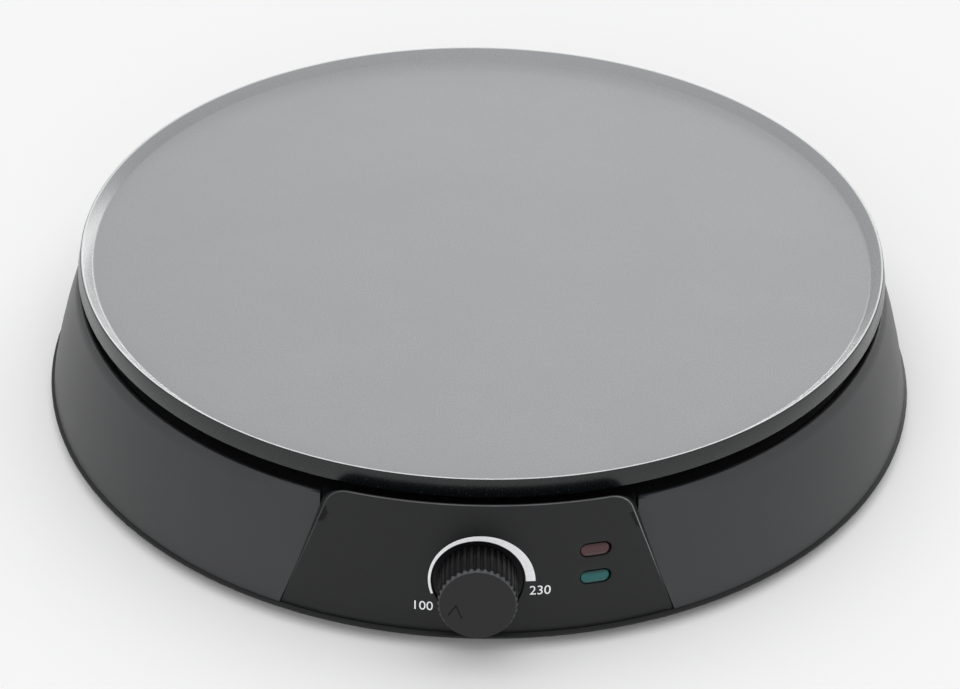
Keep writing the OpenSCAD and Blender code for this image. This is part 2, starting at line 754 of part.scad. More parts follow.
module contact_blades() color("peru") on_axis() difference() {
    union() {
        translate([0, 0, blade_a_w]) blade(contact_x, stack_x + 15, blade_t, blade_w);
        translate([0, 0, blade_b_w]) blade(contact_x, stack_x + 15, blade_t, blade_w);
    }
    translate([contact_x, 0, blade_b_w - 1]) cylinder(r = 1, h = disc_t[1] + 3, $fn = small_fn);
}

module bimetal_blade() color("slategray") on_axis() translate([0, 0, bimetal_w])
    blade(contact_x - 3, stack_x + stack_r, bimetal_t, blade_w);

// Silver contacts riveted into the blades, a small gap apart
module contact_points() color("whitesmoke") on_axis() translate([contact_x, 0, 0]) {
    gap = 0.4;
    h = (disc_t[1] - gap) / 2;
    translate([0, 0, blade_a_w - blade_t - h]) cylinder(r = 1.9, h = h, $fn = small_fn);
    translate([0, 0, blade_a_w - blade_t - eps]) cylinder(r = 1 - run_fit, h = blade_t, $fn = small_fn);
    translate([0, 0, blade_b_w]) cylinder(r = 1.9, h = h, $fn = small_fn);
    translate([0, 0, blade_b_w - blade_t]) cylinder(r = 1 - run_fit, h = blade_t + eps, $fn = small_fn);
}

// Strap that hangs the thermostat from the plate: foot on the frame's flange, a
// riser through the shield's window and a tab under the plate's pad.
module thermostat_bracket() color("silver") above_feet() difference() {
    t = bracket_t;
    foot = side_at(-frame_back, frame_v);
    foot_top = side_at(-frame_back, frame_v + t);
    back = side_at(-flange_back, frame_v);
    back_top = side_at(-flange_back, frame_v + t);
    y = back_top[0];
    rotate([90, 0, 90]) translate([0, 0, -bracket_w / 2]) linear_extrude(bracket_w) polygon([
        foot, back, [y + t, back[1] - 0.1], [y + t, bracket_z - t],
        [-bracket_r + bracket_tab, bracket_z - t], [-bracket_r + bracket_tab, bracket_z],
        [y, bracket_z], back_top, foot_top]);
    translate([0, -bracket_r, bracket_z - t - 1]) cylinder(r = m4_r + free_fit, h = 4, $fn = small_fn);
    translate([0, 0, -foot_h]) on_axis() for (s = [-1, 1])
        translate([s * 4, frame_v + 4, -flange_back + 4.5]) rotate([90, 0, 0])
            cylinder(r = m2_r + free_fit, h = 6, $fn = small_fn);
}

module bracket_screws() color("lightgray") {
    above_feet() translate([0, -bracket_r, bracket_z - bracket_t]) screw(m4_r, bracket_t + bite - 0.5);
    on_axis() for (s = [-1, 1]) translate([s * 4, frame_v + bracket_t, -flange_back + 4.5])
        rotate([90, 0, 0]) screw(m2_r, bracket_t + frame_t + 1);
}

// A lens with its flange behind the panel and a crowned front, its edge a little sunk
module lens(z) above_feet() on_panel(lamp_az, z) {
    w = window_w - 2 * lens_fit;
    h = window_h - 2 * lens_fit;
    translate([0, 0, -panel_t - 0.9]) stadium(w, h, panel_t + 0.9 - lens_sink);
    translate([0, 0, -lens_sink - eps]) stadium(w - 0.8, h - 0.8, 0.3 + eps);
    translate([0, 0, -panel_t - 1.9]) stadium(window_w + 2.4, window_h + 2, 1);
}

module red_lens() color([0.45, 0.08, 0.10]) lens(lamp_hi_z);

module green_lens() color([0.05, 0.40, 0.38]) lens(lamp_lo_z);

bulb_r = 1.9;
bulb_l = 6;
holder_t = 1.6;
lamp_step = (lamp_hi_z - lamp_lo_z) / 2 / cos(panel_tilt);

module lamp_holder() color("dimgray") on_lamp_side() difference() {
    translate([0, 0, holder_w - holder_t]) linear_extrude(holder_t) difference() {
        union() {
            square([7, 2 * lamp_step + 6], center = true);
            square([2 * pillar_x, 5], center = true);
            for (s = [-1, 1]) translate([s * pillar_x, 0]) circle(d = 5, $fn = small_fn);
        }
        for (s = [-1, 1]) {
            translate([s * pillar_x, 0]) circle(r = m2_r + free_fit, $fn = small_fn);
            translate([0, s * lamp_step]) circle(r = bulb_r + run_fit, $fn = small_fn);
        }
    }
}

module holder_screws() color("lightgray") on_lamp_side() for (s = [-1, 1])
    translate([s * pillar_x, 0, holder_w - holder_t]) screw(m2_r, holder_t + bite - 1);

module lamp_bulbs() color("lightyellow") on_lamp_side() for (s = [-1, 1])
    translate([0, s * lamp_step, holder_w - holder_t - 1]) {
        cylinder(r = bulb_r, h = bulb_l, $fn = small_fn);
        translate([0, 0, bulb_l]) sphere(r = bulb_r, $fn = small_fn);
    }

module thermal_fuse() color("white") above_feet() fuse_place() translate([0, 0, -fuse_r]) rotate([0, 0, 90])
    rotate([0, 90, 0]) translate([0, 0, -fuse_l / 2]) {
        cylinder(r = fuse_r, h = fuse_l, $fn = small_fn);
        translate([0, 0, -6]) cylinder(r = 0.6, h = fuse_l + 12, $fn = small_fn);
    }

clip_t = 0.8;

// Strap over the fuse: an arch with one flat ear
module fuse_clip() color("silver") above_feet() fuse_place() difference() {
    rotate([90, 0, 0]) translate([0, 0, -4]) linear_extrude(8) difference() {
        union() {
            translate([0, -fuse_r]) circle(r = fuse_r + clip_t, $fn = part_fn);
            translate([-fuse_r - clip_t, -fuse_r]) square([2 * (fuse_r + clip_t), fuse_r]);
            translate([0, -clip_t]) square([10, clip_t]);
        }
        translate([0, -fuse_r]) circle(r = fuse_r + run_fit, $fn = part_fn);
        translate([-fuse_r - run_fit, -fuse_r]) square([2 * (fuse_r + run_fit), fuse_r + 1]);
        translate([-10, eps]) square([25, 10]);
    }
    translate([fuse_screw_x, 0, -3]) cylinder(r = m3_r + free_fit, h = 4, $fn = small_fn);
}

module fuse_screw() color("lightgray") above_feet() fuse_place() translate([fuse_screw_x, 0, -clip_t])
    screw(m3_r, clip_t + bite - 1);

module earth_place() above_feet() rotate([0, 0, earth_az]) translate([earth_r, 0, boss_z]) children();

earth_tab_t = 0.8;

module earth_tab() color("gold") earth_place() difference() {
    translate([0, 0, -earth_tab_t]) union() {
        cylinder(r = boss_r - 0.5, h = earth_tab_t, $fn = part_fn);
        translate([-16, -3.15, 0]) cube([16, 6.3, earth_tab_t]);
    }
    translate([0, 0, -2]) cylinder(r = m4_r + free_fit, h = 3, $fn = small_fn);
}

module earth_screw() color("lightgray") earth_place() translate([0, 0, -earth_tab_t])
    screw(m4_r, earth_tab_t + bite - 0.5);

// Terminal block on the bottom cover
block = [33, 16, 12];
block_y = 108;
block_x = [-11, 0, 11];
block_foot = cover_t + 3;

module at_block() above_feet() translate([0, block_y, block_foot]) children();

module terminal_block() color("ivory") at_block() difference() {
    union() {
        translate([-block.x / 2, -block.y / 2, 0]) cube([block.x, block.y, block.z - 4]);
        for (x = block_x) translate([x - 4, -block.y / 2, 0]) cube([8, block.y, block.z]);
    }
    for (x = block_x) {
        translate([x, -block.y / 2 - 1, 4]) rotate([-90, 0, 0])
            cylinder(r = 2, h = block.y + 2, $fn = small_fn);
        for (y = [-4, 4]) translate([x, y, 4]) cylinder(r = m3_r + thread_fit, h = 10, $fn = small_fn);
    }
}

module terminal_screws() color("goldenrod") at_block() for (x = block_x, y = [-4, 4])
    translate([x, y, block.z - 0.8]) difference() {
        translate([0, 0, -5.5]) cylinder(r = m3_r, h = 6, $fn = small_fn);
        translate([-2, -0.3, -0.1]) cube([4, 0.6, 1]);
    }

lead_r = 1.1;
lead_sides = 8;

// Direction of a path at its point i, halfway between its two stretches
function path_dir(p, i) =
    let (a = p[max(i - 1, 0)], b = p[min(i + 1, len(p) - 1)]) (b - a) / norm(b - a);

// One ring of a tube's corners round point i
function tube_ring(p, i) =
    let (t = path_dir(p, i),
         u0 = cross(t, [0.3, 0.2, 0.9]),
         u = u0 / norm(u0),
         v = cross(t, u))
    [for (k = [0:lead_sides - 1])
        p[i] + lead_r * (cos(k * 360 / lead_sides) * u + sin(k * 360 / lead_sides) * v)];

// Points on a path through p with its corners rounded off by two cutting passes
function cut_corners(p) = concat([p[0]],
    [for (i = [0:len(p) - 2], f = [0.25, 0.75]) p[i] + f * (p[i + 1] - p[i])], [p[len(p) - 1]]);

// A lead: a closed tube along a path with softened corners
module lead(points) {
    p = cut_corners(cut_corners(points));
    n = len(p);
    m = lead_sides;
    polyhedron(
        points = [for (i = [0:n - 1]) each tube_ring(p, i)],
        faces = concat(
            [[for (k = [0:m - 1]) k], [for (k = [m - 1:-1:0]) (n - 1) * m + k]],
            [for (i = [0:n - 2], k = [0:m - 1])
                [i * m + k, (i + 1) * m + k, (i + 1) * m + (k + 1) % m]],
            [for (i = [0:n - 2], k = [0:m - 1])
                [i * m + k, (i + 1) * m + (k + 1) % m, i * m + (k + 1) % m]]));
}

// Where the leads meet the blades' tabs, the element's tabs and the fuse
tab_end = stack_x + 16.5;
leg_x = ring_r * sin(ring_gap) - elbow_r * cos(ring_gap);
leg_y = ring_r * cos(ring_gap) + elbow_r * sin(ring_gap);
lead_z = cover_t + 6;

module leads() color("saddlebrown") above_feet() {
    ta = side_at(blade_a_w - blade_t / 2, 0);
    tb = side_at(blade_b_w - blade_t / 2, 0);
    tab_z = leg_z - bead_h - 12.5;
    lead([[block_x[0], block_y - block.y / 2 - 0.4, block_foot + 4], [block_x[0], 92, lead_z],
        [-62, 62, lead_z], [-70, -60, lead_z], [tab_end - 4, tb[0] + 17, lead_z],
        [tab_end + 6, tb[0] + 8, tb[1]], [tab_end, tb[0], tb[1]]]);
    lead([[block_x[2], block_y - block.y / 2 - 0.4, block_foot + 4],
        [block_x[2] + 8, 92, lead_z], [leg_x + 8, leg_y - 8, lead_z], [leg_x, leg_y, tab_z]]);
    lead([[-leg_x, leg_y, tab_z], [-leg_x - 6, leg_y - 14, lead_z + 3], [-50, 40, lead_z + 3],
        [-56, -50, lead_z + 3], [tab_end, ta[0] + 28, lead_z + 3],
        [tab_end + 9, ta[0] + 10, ta[1]], [tab_end, ta[0], ta[1]]]);
}

// The bottom cover: a flanged disc with a locating rim, ribs, vents and screw holes
module bottom_cover() color([0.13, 0.13, 0.14]) above_feet() difference() {
    ring_z = cover_t + 2.5;
    union() {
        rotate_extrude($fn = round_fn) polygon([[0, 0], [base_r - 0.2, 0], [base_r, 0.2],
            [base_r, flange_t - 0.3], [base_r - 0.3, flange_t], [cover_r, flange_t],
            [cover_r, cover_t], [0, cover_t]]);
        for (a = [-50, 130]) rotate([0, 0, a]) rotate_extrude(angle = 100, $fn = round_fn)
            translate([wall_r(ring_z) - wall_t - 2.4, cover_t - eps]) square([1.8, 2.5]);
        for (r = rib_rings) translate([0, 0, cover_t - eps]) ring(r, r + 2, cover_rib_h);
        for (i = [0:11]) rotate([0, 0, i * 30]) translate([rib_rings[0] + 1, -1, cover_t - eps])
            cube([rib_rings[1] - rib_rings[0], 2, cover_rib_h]);
        polar(foot_angles, foot_circle_r) cylinder(r = 4, h = cover_t + cover_boss_h, $fn = part_fn);
        for (s = [-1, 1]) {
            translate([s * clamp_x, clamp_y, cover_t - eps])
                cylinder(r = 3.5, h = clamp_z - cover_t + eps, $fn = part_fn);
            translate([s * 12 - 1.5, block_y - 6, cover_t - eps]) cube([3, 12, 3 + eps]);
        }
        translate([-5, clamp_y - 3, cover_t - eps]) cube([10, 6, inlet_z - inlet_r - 0.3 - cover_t]);
    }
    for (r = vent_rows, i = [0:vent_count - 1]) rotate([0, 0, (i + 0.5) * 360 / vent_count])
        translate([r - vent_l / 2, -vent_w / 2, -1]) cube([vent_l, vent_w, cover_t + 4]);
    polar(post_angles, post_circle_r) translate([0, 0, -1])
        cylinder(r = m3_r + free_fit, h = 6, $fn = small_fn);
    polar(foot_angles, foot_circle_r) translate([0, 0, -1])
        cylinder(r = m3_r + thread_fit, h = cover_boss_h + 1, $fn = small_fn);
    for (s = [-1, 1]) translate([s * clamp_x, clamp_y, clamp_z - 6])
        cylinder(r = m3_r + thread_fit, h = 10, $fn = small_fn);
}

module cover_screws() color("lightgray") above_feet() polar(post_angles, post_circle_r)
    screw(m3_r, cover_t + 10);

module feet() color([0.08, 0.08, 0.08]) polar(foot_angles, foot_circle_r) difference() {
    r = foot_d / 2;
    rotate_extrude($fn = part_fn) polygon([[0, 0], [r - 1.4, 0], [r - 0.9, 0.6],
        [r, foot_h], [0, foot_h]]);
    translate([0, 0, -1]) cylinder(r = m3_r * 1.9 + 0.6, h = foot_h - 1, $fn = small_fn);
    cylinder(r = m3_r + free_fit, h = foot_h + 1, $fn = small_fn);
}

module foot_screws() color("lightgray") polar(foot_angles, foot_circle_r) translate([0, 0, foot_h - 2])
    screw(m3_r, 2 + cover_boss_h - 0.5);

// The moulded cord inlet: a block in the housing's notch, a wider flange behind the
// wall and a collar outside
module cord_gland() color([0.07, 0.07, 0.07]) above_feet() difference() {
    low = cover_t + 0.2;
    wall_y = wall_r((low + gland_top) / 2) - wall_t / 2;
    union() {
        translate([-gland_w / 2, wall_y - 9, low]) cube([gland_w, 16, gland_top - low]);
        translate([-gland_w / 2 - 2, wall_y - 9, low]) cube([gland_w + 4, 4, gland_top + 1.5 - low]);
        translate([0, wall_y + 4, inlet_z]) rotate([-90, 0, 0])
            cylinder(r1 = inlet_r + 4, r2 = inlet_r + 2.2, h = front_reach - wall_y - 4, $fn = part_fn);
    }
    translate([0, wall_y - 20, inlet_z]) rotate([-90, 0, 0]) cylinder(r = inlet_r, h = 60, $fn = part_fn);
}

clamp_x = 10;
clamp_y = 138;
clamp_z = inlet_z - 1;
clamp_h = inlet_r + 2.6;

module cord_clamp() color("ivory") above_feet() translate([0, clamp_y, clamp_z]) difference() {
    translate([-clamp_x - 4, -4, 0]) cube([2 * clamp_x + 8, 8, clamp_h]);
    translate([0, -5, 1]) rotate([-90, 0, 0]) cylinder(r = inlet_r, h = 10, $fn = part_fn);
    for (s = [-1, 1]) translate([s * clamp_x, 0, -1])
        cylinder(r = m3_r + free_fit, h = clamp_h + 2, $fn = small_fn);
}

module clamp_screws() color("lightgray") above_feet() for (s = [-1, 1])
    translate([s * clamp_x, clamp_y, clamp_z + clamp_h]) rotate([180, 0, 0])
        screw(m3_r, clamp_h + bite);

cooking_plate();
heating_element();
element_insulators();
element_tabs();
heat_shield();
plate_spacers();
plate_screws();
housing();
control_panel();
panel_screws();
knob();
thermostat_spindle();
setting_pin();
thermostat_frame();
thermostat_bush();
thermostat_stack();
stack_rivet();
bimetal_blade();
contact_blades();
contact_points();
thermostat_bracket();
bracket_screws();
red_lens();
green_lens();
lamp_holder();
holder_screws();
lamp_bulbs();
thermal_fuse();
fuse_clip();
fuse_screw();
terminal_block();
terminal_screws();
leads();
earth_tab();
earth_screw();
bottom_cover();
cover_screws();
feet();
foot_screws();
cord_gland();
cord_clamp();
clamp_screws();
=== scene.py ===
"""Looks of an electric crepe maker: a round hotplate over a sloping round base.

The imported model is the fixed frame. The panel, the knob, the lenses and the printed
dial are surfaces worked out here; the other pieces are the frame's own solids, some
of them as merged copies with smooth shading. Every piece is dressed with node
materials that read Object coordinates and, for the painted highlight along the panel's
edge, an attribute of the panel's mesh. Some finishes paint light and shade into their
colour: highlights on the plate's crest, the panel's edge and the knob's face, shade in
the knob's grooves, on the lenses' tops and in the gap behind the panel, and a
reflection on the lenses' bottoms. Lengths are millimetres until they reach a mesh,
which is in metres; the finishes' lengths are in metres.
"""

import json
import logging
import math
from collections.abc import Callable, Mapping, Sequence
from dataclasses import dataclass
from enum import Enum

import bmesh
import bpy
import numpy as np
from mathutils import Matrix, Vector
from mathutils.geometry import delaunay_2d_cdt


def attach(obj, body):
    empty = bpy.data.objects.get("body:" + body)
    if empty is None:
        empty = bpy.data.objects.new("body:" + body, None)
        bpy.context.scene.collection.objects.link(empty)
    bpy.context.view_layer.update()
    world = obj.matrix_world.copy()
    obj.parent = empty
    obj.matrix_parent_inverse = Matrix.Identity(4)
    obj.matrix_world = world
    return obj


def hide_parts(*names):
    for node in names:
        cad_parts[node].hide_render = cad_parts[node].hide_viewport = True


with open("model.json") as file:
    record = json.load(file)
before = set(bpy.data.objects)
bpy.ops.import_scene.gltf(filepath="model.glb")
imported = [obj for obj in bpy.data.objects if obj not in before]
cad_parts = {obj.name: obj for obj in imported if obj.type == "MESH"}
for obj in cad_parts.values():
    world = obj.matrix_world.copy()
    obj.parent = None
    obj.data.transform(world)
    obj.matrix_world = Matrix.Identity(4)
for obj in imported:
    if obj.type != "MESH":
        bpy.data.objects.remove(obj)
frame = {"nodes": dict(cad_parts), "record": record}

log = logging.getLogger("crepe_maker")

MM = 0.001  # a millimetre in metres
TINY = 1e-6  # two measures closer than this are the same, in their own unit
PICTURE_WIDTH = 960  # of the photograph's frame, in pixels
SENSOR_WIDTH = 36.0  # of the camera, in millimetres
Rgb = tuple[float, float, float]
Place = tuple[float, float, float]


class Body(Enum):
    """The bodies of the frame that the pieces made here ride on."""

    BASE = "base"
    KNOB = "knob"


def grey(level: float) -> float:
    """Linear value of an sRGB level from 0 to 255, by the sRGB transfer curve."""
    s = level / 255
    return s / 12.92 if s <= 0.04045 else ((s + 0.055) / 1.055) ** 2.4


def rgb(red: float, green: float, blue: float) -> Rgb:
    """Linear colour of three sRGB levels from 0 to 255."""
    return (grey(red), grey(green), grey(blue))


# ---------------------------------------------------------------- shader nodes


class Signal:
    """A number, colour or vector on a node's output, for shader maths.

    An expression on numbers adds its Math nodes to the tree.
    """

    def __init__(self, tree: "Tree", socket: bpy.types.NodeSocket) -> None:
        """Wrap a socket of a tree."""
        self.tree = tree
        self.socket = socket

    def _math(self, operation: str, *values: "Signal | float") -> "Signal":
        """Add a Math node.

        Args:
            operation: the Math node's operation.
            values: its inputs in order.

        Returns:
            The node's value.
        """
        return self.tree.add("ShaderNodeMath", dict(enumerate(values)), operation=operation)

    def __add__(self, other: "Signal | float") -> "Signal":
        """Sum."""
        return self._math("ADD", self, other)

    def __radd__(self, other: float) -> "Signal":
        """Sum with a number on the left."""
        return self._math("ADD", other, self)

    def __sub__(self, other: "Signal | float") -> "Signal":
        """Difference."""
        return self._math("SUBTRACT", self, other)

    def __rsub__(self, other: float) -> "Signal":
        """Difference with a number on the left."""
        return self._math("SUBTRACT", other, self)

    def __mul__(self, other: "Signal | float") -> "Signal":
        """Product."""
        return self._math("MULTIPLY", self, other)

    def __rmul__(self, other: float) -> "Signal":
        """Product with a number on the left."""
        return self._math("MULTIPLY", other, self)

    def __truediv__(self, other: "Signal | float") -> "Signal":
        """Quotient."""
        return self._math("DIVIDE", self, other)

    def __pow__(self, other: float) -> "Signal":
        """Power."""
        return self._math("POWER", self, other)

    def ramp(self, low: float, high: float) -> "Signal":
        """Smooth step.

        Args:
            low: value at which the step is 0.
            high: value at which it is 1; where it is less than low, the step falls.

        Returns:
            A number from 0 to 1.
        """
        step = self.tree.add(
            "ShaderNodeMapRange",
            {"Value": self, "From Min": min(low, high), "From Max": max(low, high)},
            interpolation_type="SMOOTHSTEP",
        )
        return 1 - step if high < low else step

    def largest(self, *others: "Signal") -> "Signal":
        """The largest of this value and others.

        Args:
            others: the other values.

        Returns:
            The largest.
        """
        most = self
        for other in others:
            most = self._math("MAXIMUM", most, other)
        return most


class Tree:
    """The node tree of a material or world, emptied and then filled through add()."""

    def __init__(self, name: str, kind: str = "materials") -> None:
        """Make a material or a world with an empty tree.

        Args:
            name: its name.
            kind: the collection it goes into, materials or worlds.
        """
        self.owner = getattr(bpy.data, kind).new(name)
        self.owner.use_nodes = True
        self.nodes = self.owner.node_tree.nodes
        self.links = self.owner.node_tree.links
        self.nodes.clear()
        self._coordinates: Signal | None = None

    def add(
        self,
        kind: str,
        values: Mapping[str | int, object] | None = None,
        output: str | int = 0,
        **settings: object,
    ) -> Signal:
        """Add one node of any type.

        Args:
            kind: the node's type.
            values: for each input, a link or a plain value.
            output: the output that is given back.
            settings: the node's own settings, set before its inputs.

        Returns:
            The chosen output.
        """
        node = self.nodes.new(kind)
        for key, value in settings.items():
            setattr(node, key, value)
        for key, value in (values or {}).items():
            socket = node.inputs[key]
            if isinstance(value, Signal):
                self.links.new(value.socket, socket)
            elif isinstance(value, tuple) and socket.type == "RGBA" and len(value) == 3:
                socket.default_value = (*value, 1.0)
            else:
                socket.default_value = value
        return Signal(self, node.outputs[output] if node.outputs else None)

    @property
    def place(self) -> Signal:
        """Object coordinates, in metres, in the frame's own axes."""
        if self._coordinates is None:
            self._coordinates = self.add("ShaderNodeTexCoord", output="Object")
        return self._coordinates

    def axis(self, index: int, vector: Signal | None = None) -> Signal:
        """One component of a vector, of the place itself if none is given."""
        source = self.place if vector is None else vector
        return self.add("ShaderNodeSeparateXYZ", {0: source}, output=index)

    def vector(
        self, operation: str, vector: Signal, other: Place, output: str | int = 0
    ) -> Signal:
        """A Vector Math node on a vector and a fixed one."""
        values = {0: vector, 1: other}
        return self.add("ShaderNodeVectorMath", values, output, operation=operation)

    def dot(self, vector: Signal, direction: Place) -> Signal:
        """Dot product of a vector and a fixed direction."""
        return self.vector("DOT_PRODUCT", vector, direction, output="Value")

    def radius(self) -> Signal:
        """Distance from the plate's axis."""
        x, y = self.axis(0), self.axis(1)
        return (x * x + y * y) ** 0.5

    def noise(
        self,
        size: float,
        detail: float = 2.0,
        roughness: float = 0.5,
        vector: Signal | None = None,
    ) -> Signal:
        """Noise with features of a given size.

        Args:
            size: size of the features in metres.
            detail: octaves above the first.
            roughness: weight of the octaves.
            vector: what it is read at, the place itself if none is given.

        Returns:
            A number around 0.5.
        """
        source = self.place if vector is None else vector
        values = {"Vector": source, "Scale": 1 / size, "Detail": detail, "Roughness": roughness}
        return self.add("ShaderNodeTexNoise", values)

    def cells(self, size: float) -> Signal:
        """Distance to the nearest of scattered points, in units of their spacing in metres."""
        values = {"Vector": self.place, "Scale": 1 / size}
        return self.add("ShaderNodeTexVoronoi", values, output="Distance")

    def blend(self, factor: Signal, low: Signal | Rgb, high: Signal | Rgb) -> Signal:
        """Mix two colours.

        Args:
            factor: 0 for low, 1 for high.
            low: first colour.
            high: second colour.

        Returns:
            The mixed colour.
        """
        values = {0: factor, 6: low, 7: high}
        return self.add("ShaderNodeMix", values, output=2, data_type="RGBA")

    def bump(self, height: Signal, depth: float) -> Signal:
        """Normal of a relief: height from 0 to 1 stands for depth metres."""
        return self.add("ShaderNodeBump", {"Height": height, "Distance": depth, "Strength": 1.0})

    def finish(self, **sockets: object) -> bpy.types.Material:
        """Add the surface shader and the output.

        Args:
            sockets: values or links of the shader, with _ for a space.

        Returns:
            The material.
        """
        values = {key.replace("_", " "): value for key, value in sockets.items()}
        shader = self.add("ShaderNodeBsdfPrincipled", values)
        self.add("ShaderNodeOutputMaterial", {"Surface": shader})
        return self.owner


def shaded(colour: Rgb, factor: float, lift: float = 0.0) -> Rgb:
    """A linear colour times a factor, plus a lift, no brighter than white."""
    return tuple(min(1.0, c * factor + lift) for c in colour)


# -------------------------------------------------------------------- finishes


@dataclass(frozen=True)
class MouldedBlack:
    """Black moulded plastic with a fine grain and faint cloudiness.

    Attributes:
        name: the material's name.
        colour: base colour.
        roughness: mean roughness.
        shine: strength of its reflections; 0.5 is plain plastic.
        grain: size of the grain in metres.
        depth: depth of the grain in metres.
        specks: share of lighter dust-like specks.
        speck_gap: spacing of those specks in metres.
        clouds: size of the cloudiness in metres.
    """

    name: str
    colour: Rgb = rgb(30, 30, 32)
    roughness: float = 0.42
    shine: float = 0.5
    grain: float = 0.0006
    depth: float = 0.00002
    specks: float = 0.25
    speck_gap: float = 0.0011
    clouds: float = 0.035

    def material(self) -> bpy.types.Material:
        """Build the node material.

        Returns:
            The material.
        """
        tree = Tree(self.name)
        grain = tree.noise(self.grain, 3, 0.6)
        cloud = tree.noise(self.clouds, 2)
        speck = tree.cells(self.speck_gap).ramp(0.20, 0.08)
        base = self.tinted(tree, tree.blend(cloud, shaded(self.colour, 0.75), self.colour))
        return tree.finish(
            Base_Color=tree.blend(
                speck * grain * self.specks, base, shaded(self.colour, 3, 0.01)
            ),
            Roughness=self.roughness + 0.10 * (grain - 0.5) + 0.08 * (cloud - 0.5),
            Specular_IOR_Level=self.shine,
            Normal=tree.bump(grain, self.depth),
        )

    def tinted(self, tree: Tree, base: Signal) -> Signal:
        """The base colour with its places of another tint; here it has none."""
        return base


@dataclass(frozen=True)
class PanelPlastic(MouldedBlack):
    """The panel's plastic, with a painted highlight where the mesh's own edge attribute says so.

    Attributes:
        edge: colour of the painted highlight along the front's rounded edge.
        patches: size of the breaks in the painted highlight, in metres.
    """

    edge: Rgb = rgb(150, 151, 154)
    patches: float = 0.004

    def tinted(self, tree: Tree, base: Signal) -> Signal:
        """The base colour with a painted highlight, slightly broken up, along the attribute's
        edge.
        """
        # painted highlight: the edge attribute's share blends in the lighter edge colour
        mark = tree.add("ShaderNodeAttribute", attribute_name="edge", output="Fac")
        return tree.blend(mark * (0.4 + tree.noise(self.patches, 2)), base, self.edge)


@dataclass(frozen=True)
class KnobPlastic(MouldedBlack):
    """The knob's plastic: painted highlight on its face's edge, painted shade in its grooves.

    Attributes:
        centre: where the knob's axis meets the panel's face, in metres.
        up: direction up the face.
        out: direction of the axis.
        radius: radius over the flutes, in metres.
        front: distance of the knob's face along the axis, in metres.
        edge: colour of the painted highlight on the face's edge.
        painted_shade: colour of the painted shade on the flutes' floors and in the pointer's
            groove.
    """

    centre: Place = (0, 0, 0)
    up: Place = (0, 0, 1)
    out: Place = (0, -1, 0)
    radius: float = 0.0132
    front: float = 0.0143
    edge: Rgb = rgb(70, 71, 74)
    painted_shade: Rgb = rgb(8, 8, 9)

    def tinted(self, tree: Tree, base: Signal) -> Signal:
        """The base colour with painted light, placed by the distances from the axis and along it.

        Each tinted place is where two smooth steps meet: one over the distance inside
        the flutes' radius and one over the distance behind the face, both in metres.

        Args:
            tree: the material's tree.
            base: the untinted colour.

        Returns:
            The tinted colour.
        """
        local = tree.vector("SUBTRACT", tree.place, self.centre)
        across, along = tree.axis(0, local), tree.dot(local, self.out)
        rise = tree.dot(local, self.up)
        radius = (across * across + rise * rise) ** 0.5

        def band(inward: tuple[float, float], behind: tuple[float, float]) -> Signal:
            """A share that rises over two distances inwards and two behind the face."""
            around = radius.ramp(*(self.radius - d for d in inward))
            return around * along.ramp(*(self.front - d for d in behind))

        # painted highlight on the face's edge (rim); painted shade in the flutes and the pointer's
        # groove
        rim = band((0.00075, 0.0006), (0.0014, 0.0012))
        flute = band((0.0001, 0.0004), (0.0013, 0.0016))
        groove = band((0.0012, 0.0014), (0.00005, 0.0003))
        return tree.blend(flute + groove, tree.blend(rim, base, self.edge), self.painted_shade)


@dataclass(frozen=True)
class PlateCoating:
    """Grey non-stick coating with a fine grain; dark with light specks on the side.

    A painted highlight lies along the rim's crest.

    Attributes:
        top: colour of the cooking surface.
        side: colour of the plate's side.
        crest: colour of the painted highlight along the rim's crest.
        speck: colour of the light specks on the side.
        crest_radius: distance from the axis at which the crest and its painted highlight start, in
            metres.
        side_radius: distance from the axis at which the side starts, in metres.
        under: height below which the whole plate has the side's colour, in metres.
        grain: size of the grain in metres.
        clouds: size of the cloudiness in metres.
        speck_gap: spacing of the specks in metres.
    """

    top: Rgb = rgb(150, 151, 153)
    side: Rgb = rgb(13, 17, 18)
    crest: Rgb = rgb(208, 212, 212)
    speck: Rgb = rgb(96, 104, 106)
    crest_radius: float = 0.15135
    side_radius: float = 0.15205
    under: float = 0.0560
    grain: float = 0.0005
    clouds: float = 0.05
    speck_gap: float = 0.0012

    def material(self) -> bpy.types.Material:
        """Build the node material.

        Returns:
            The material.
        """
        tree = Tree("plate_coating")
        grain = tree.noise(self.grain, 3, 0.6)
        cloud = tree.noise(self.clouds, 3)
        radius = tree.radius()
        side = radius.ramp(self.side_radius, self.side_radius + 0.0001)
        under = tree.axis(2).ramp(self.under, self.under - 0.0005)
        away = side + under - side * under
        # painted highlight: a lighter ring on the rim's crest, where a lamp's glint falls
        crest_highlight = radius.ramp(self.crest_radius, self.crest_radius + 0.0002) * (1 - away)
        speck = tree.cells(self.speck_gap).ramp(0.22, 0.10) * grain.ramp(0.45, 0.6)
        clean = tree.blend(cloud, shaded(self.top, 0.96), self.top)
        top = tree.blend(crest_highlight * (0.75 + 0.5 * grain), clean, self.crest)
        flank = tree.blend(speck * 0.4, self.side, self.speck)
        return tree.finish(
            Base_Color=tree.blend(away, top, flank),
            Roughness=0.27 + 0.08 * (grain - 0.5) + 0.04 * (cloud - 0.5) + 0.05 * crest_highlight,
            Normal=tree.bump(grain, 0.000012),
        )


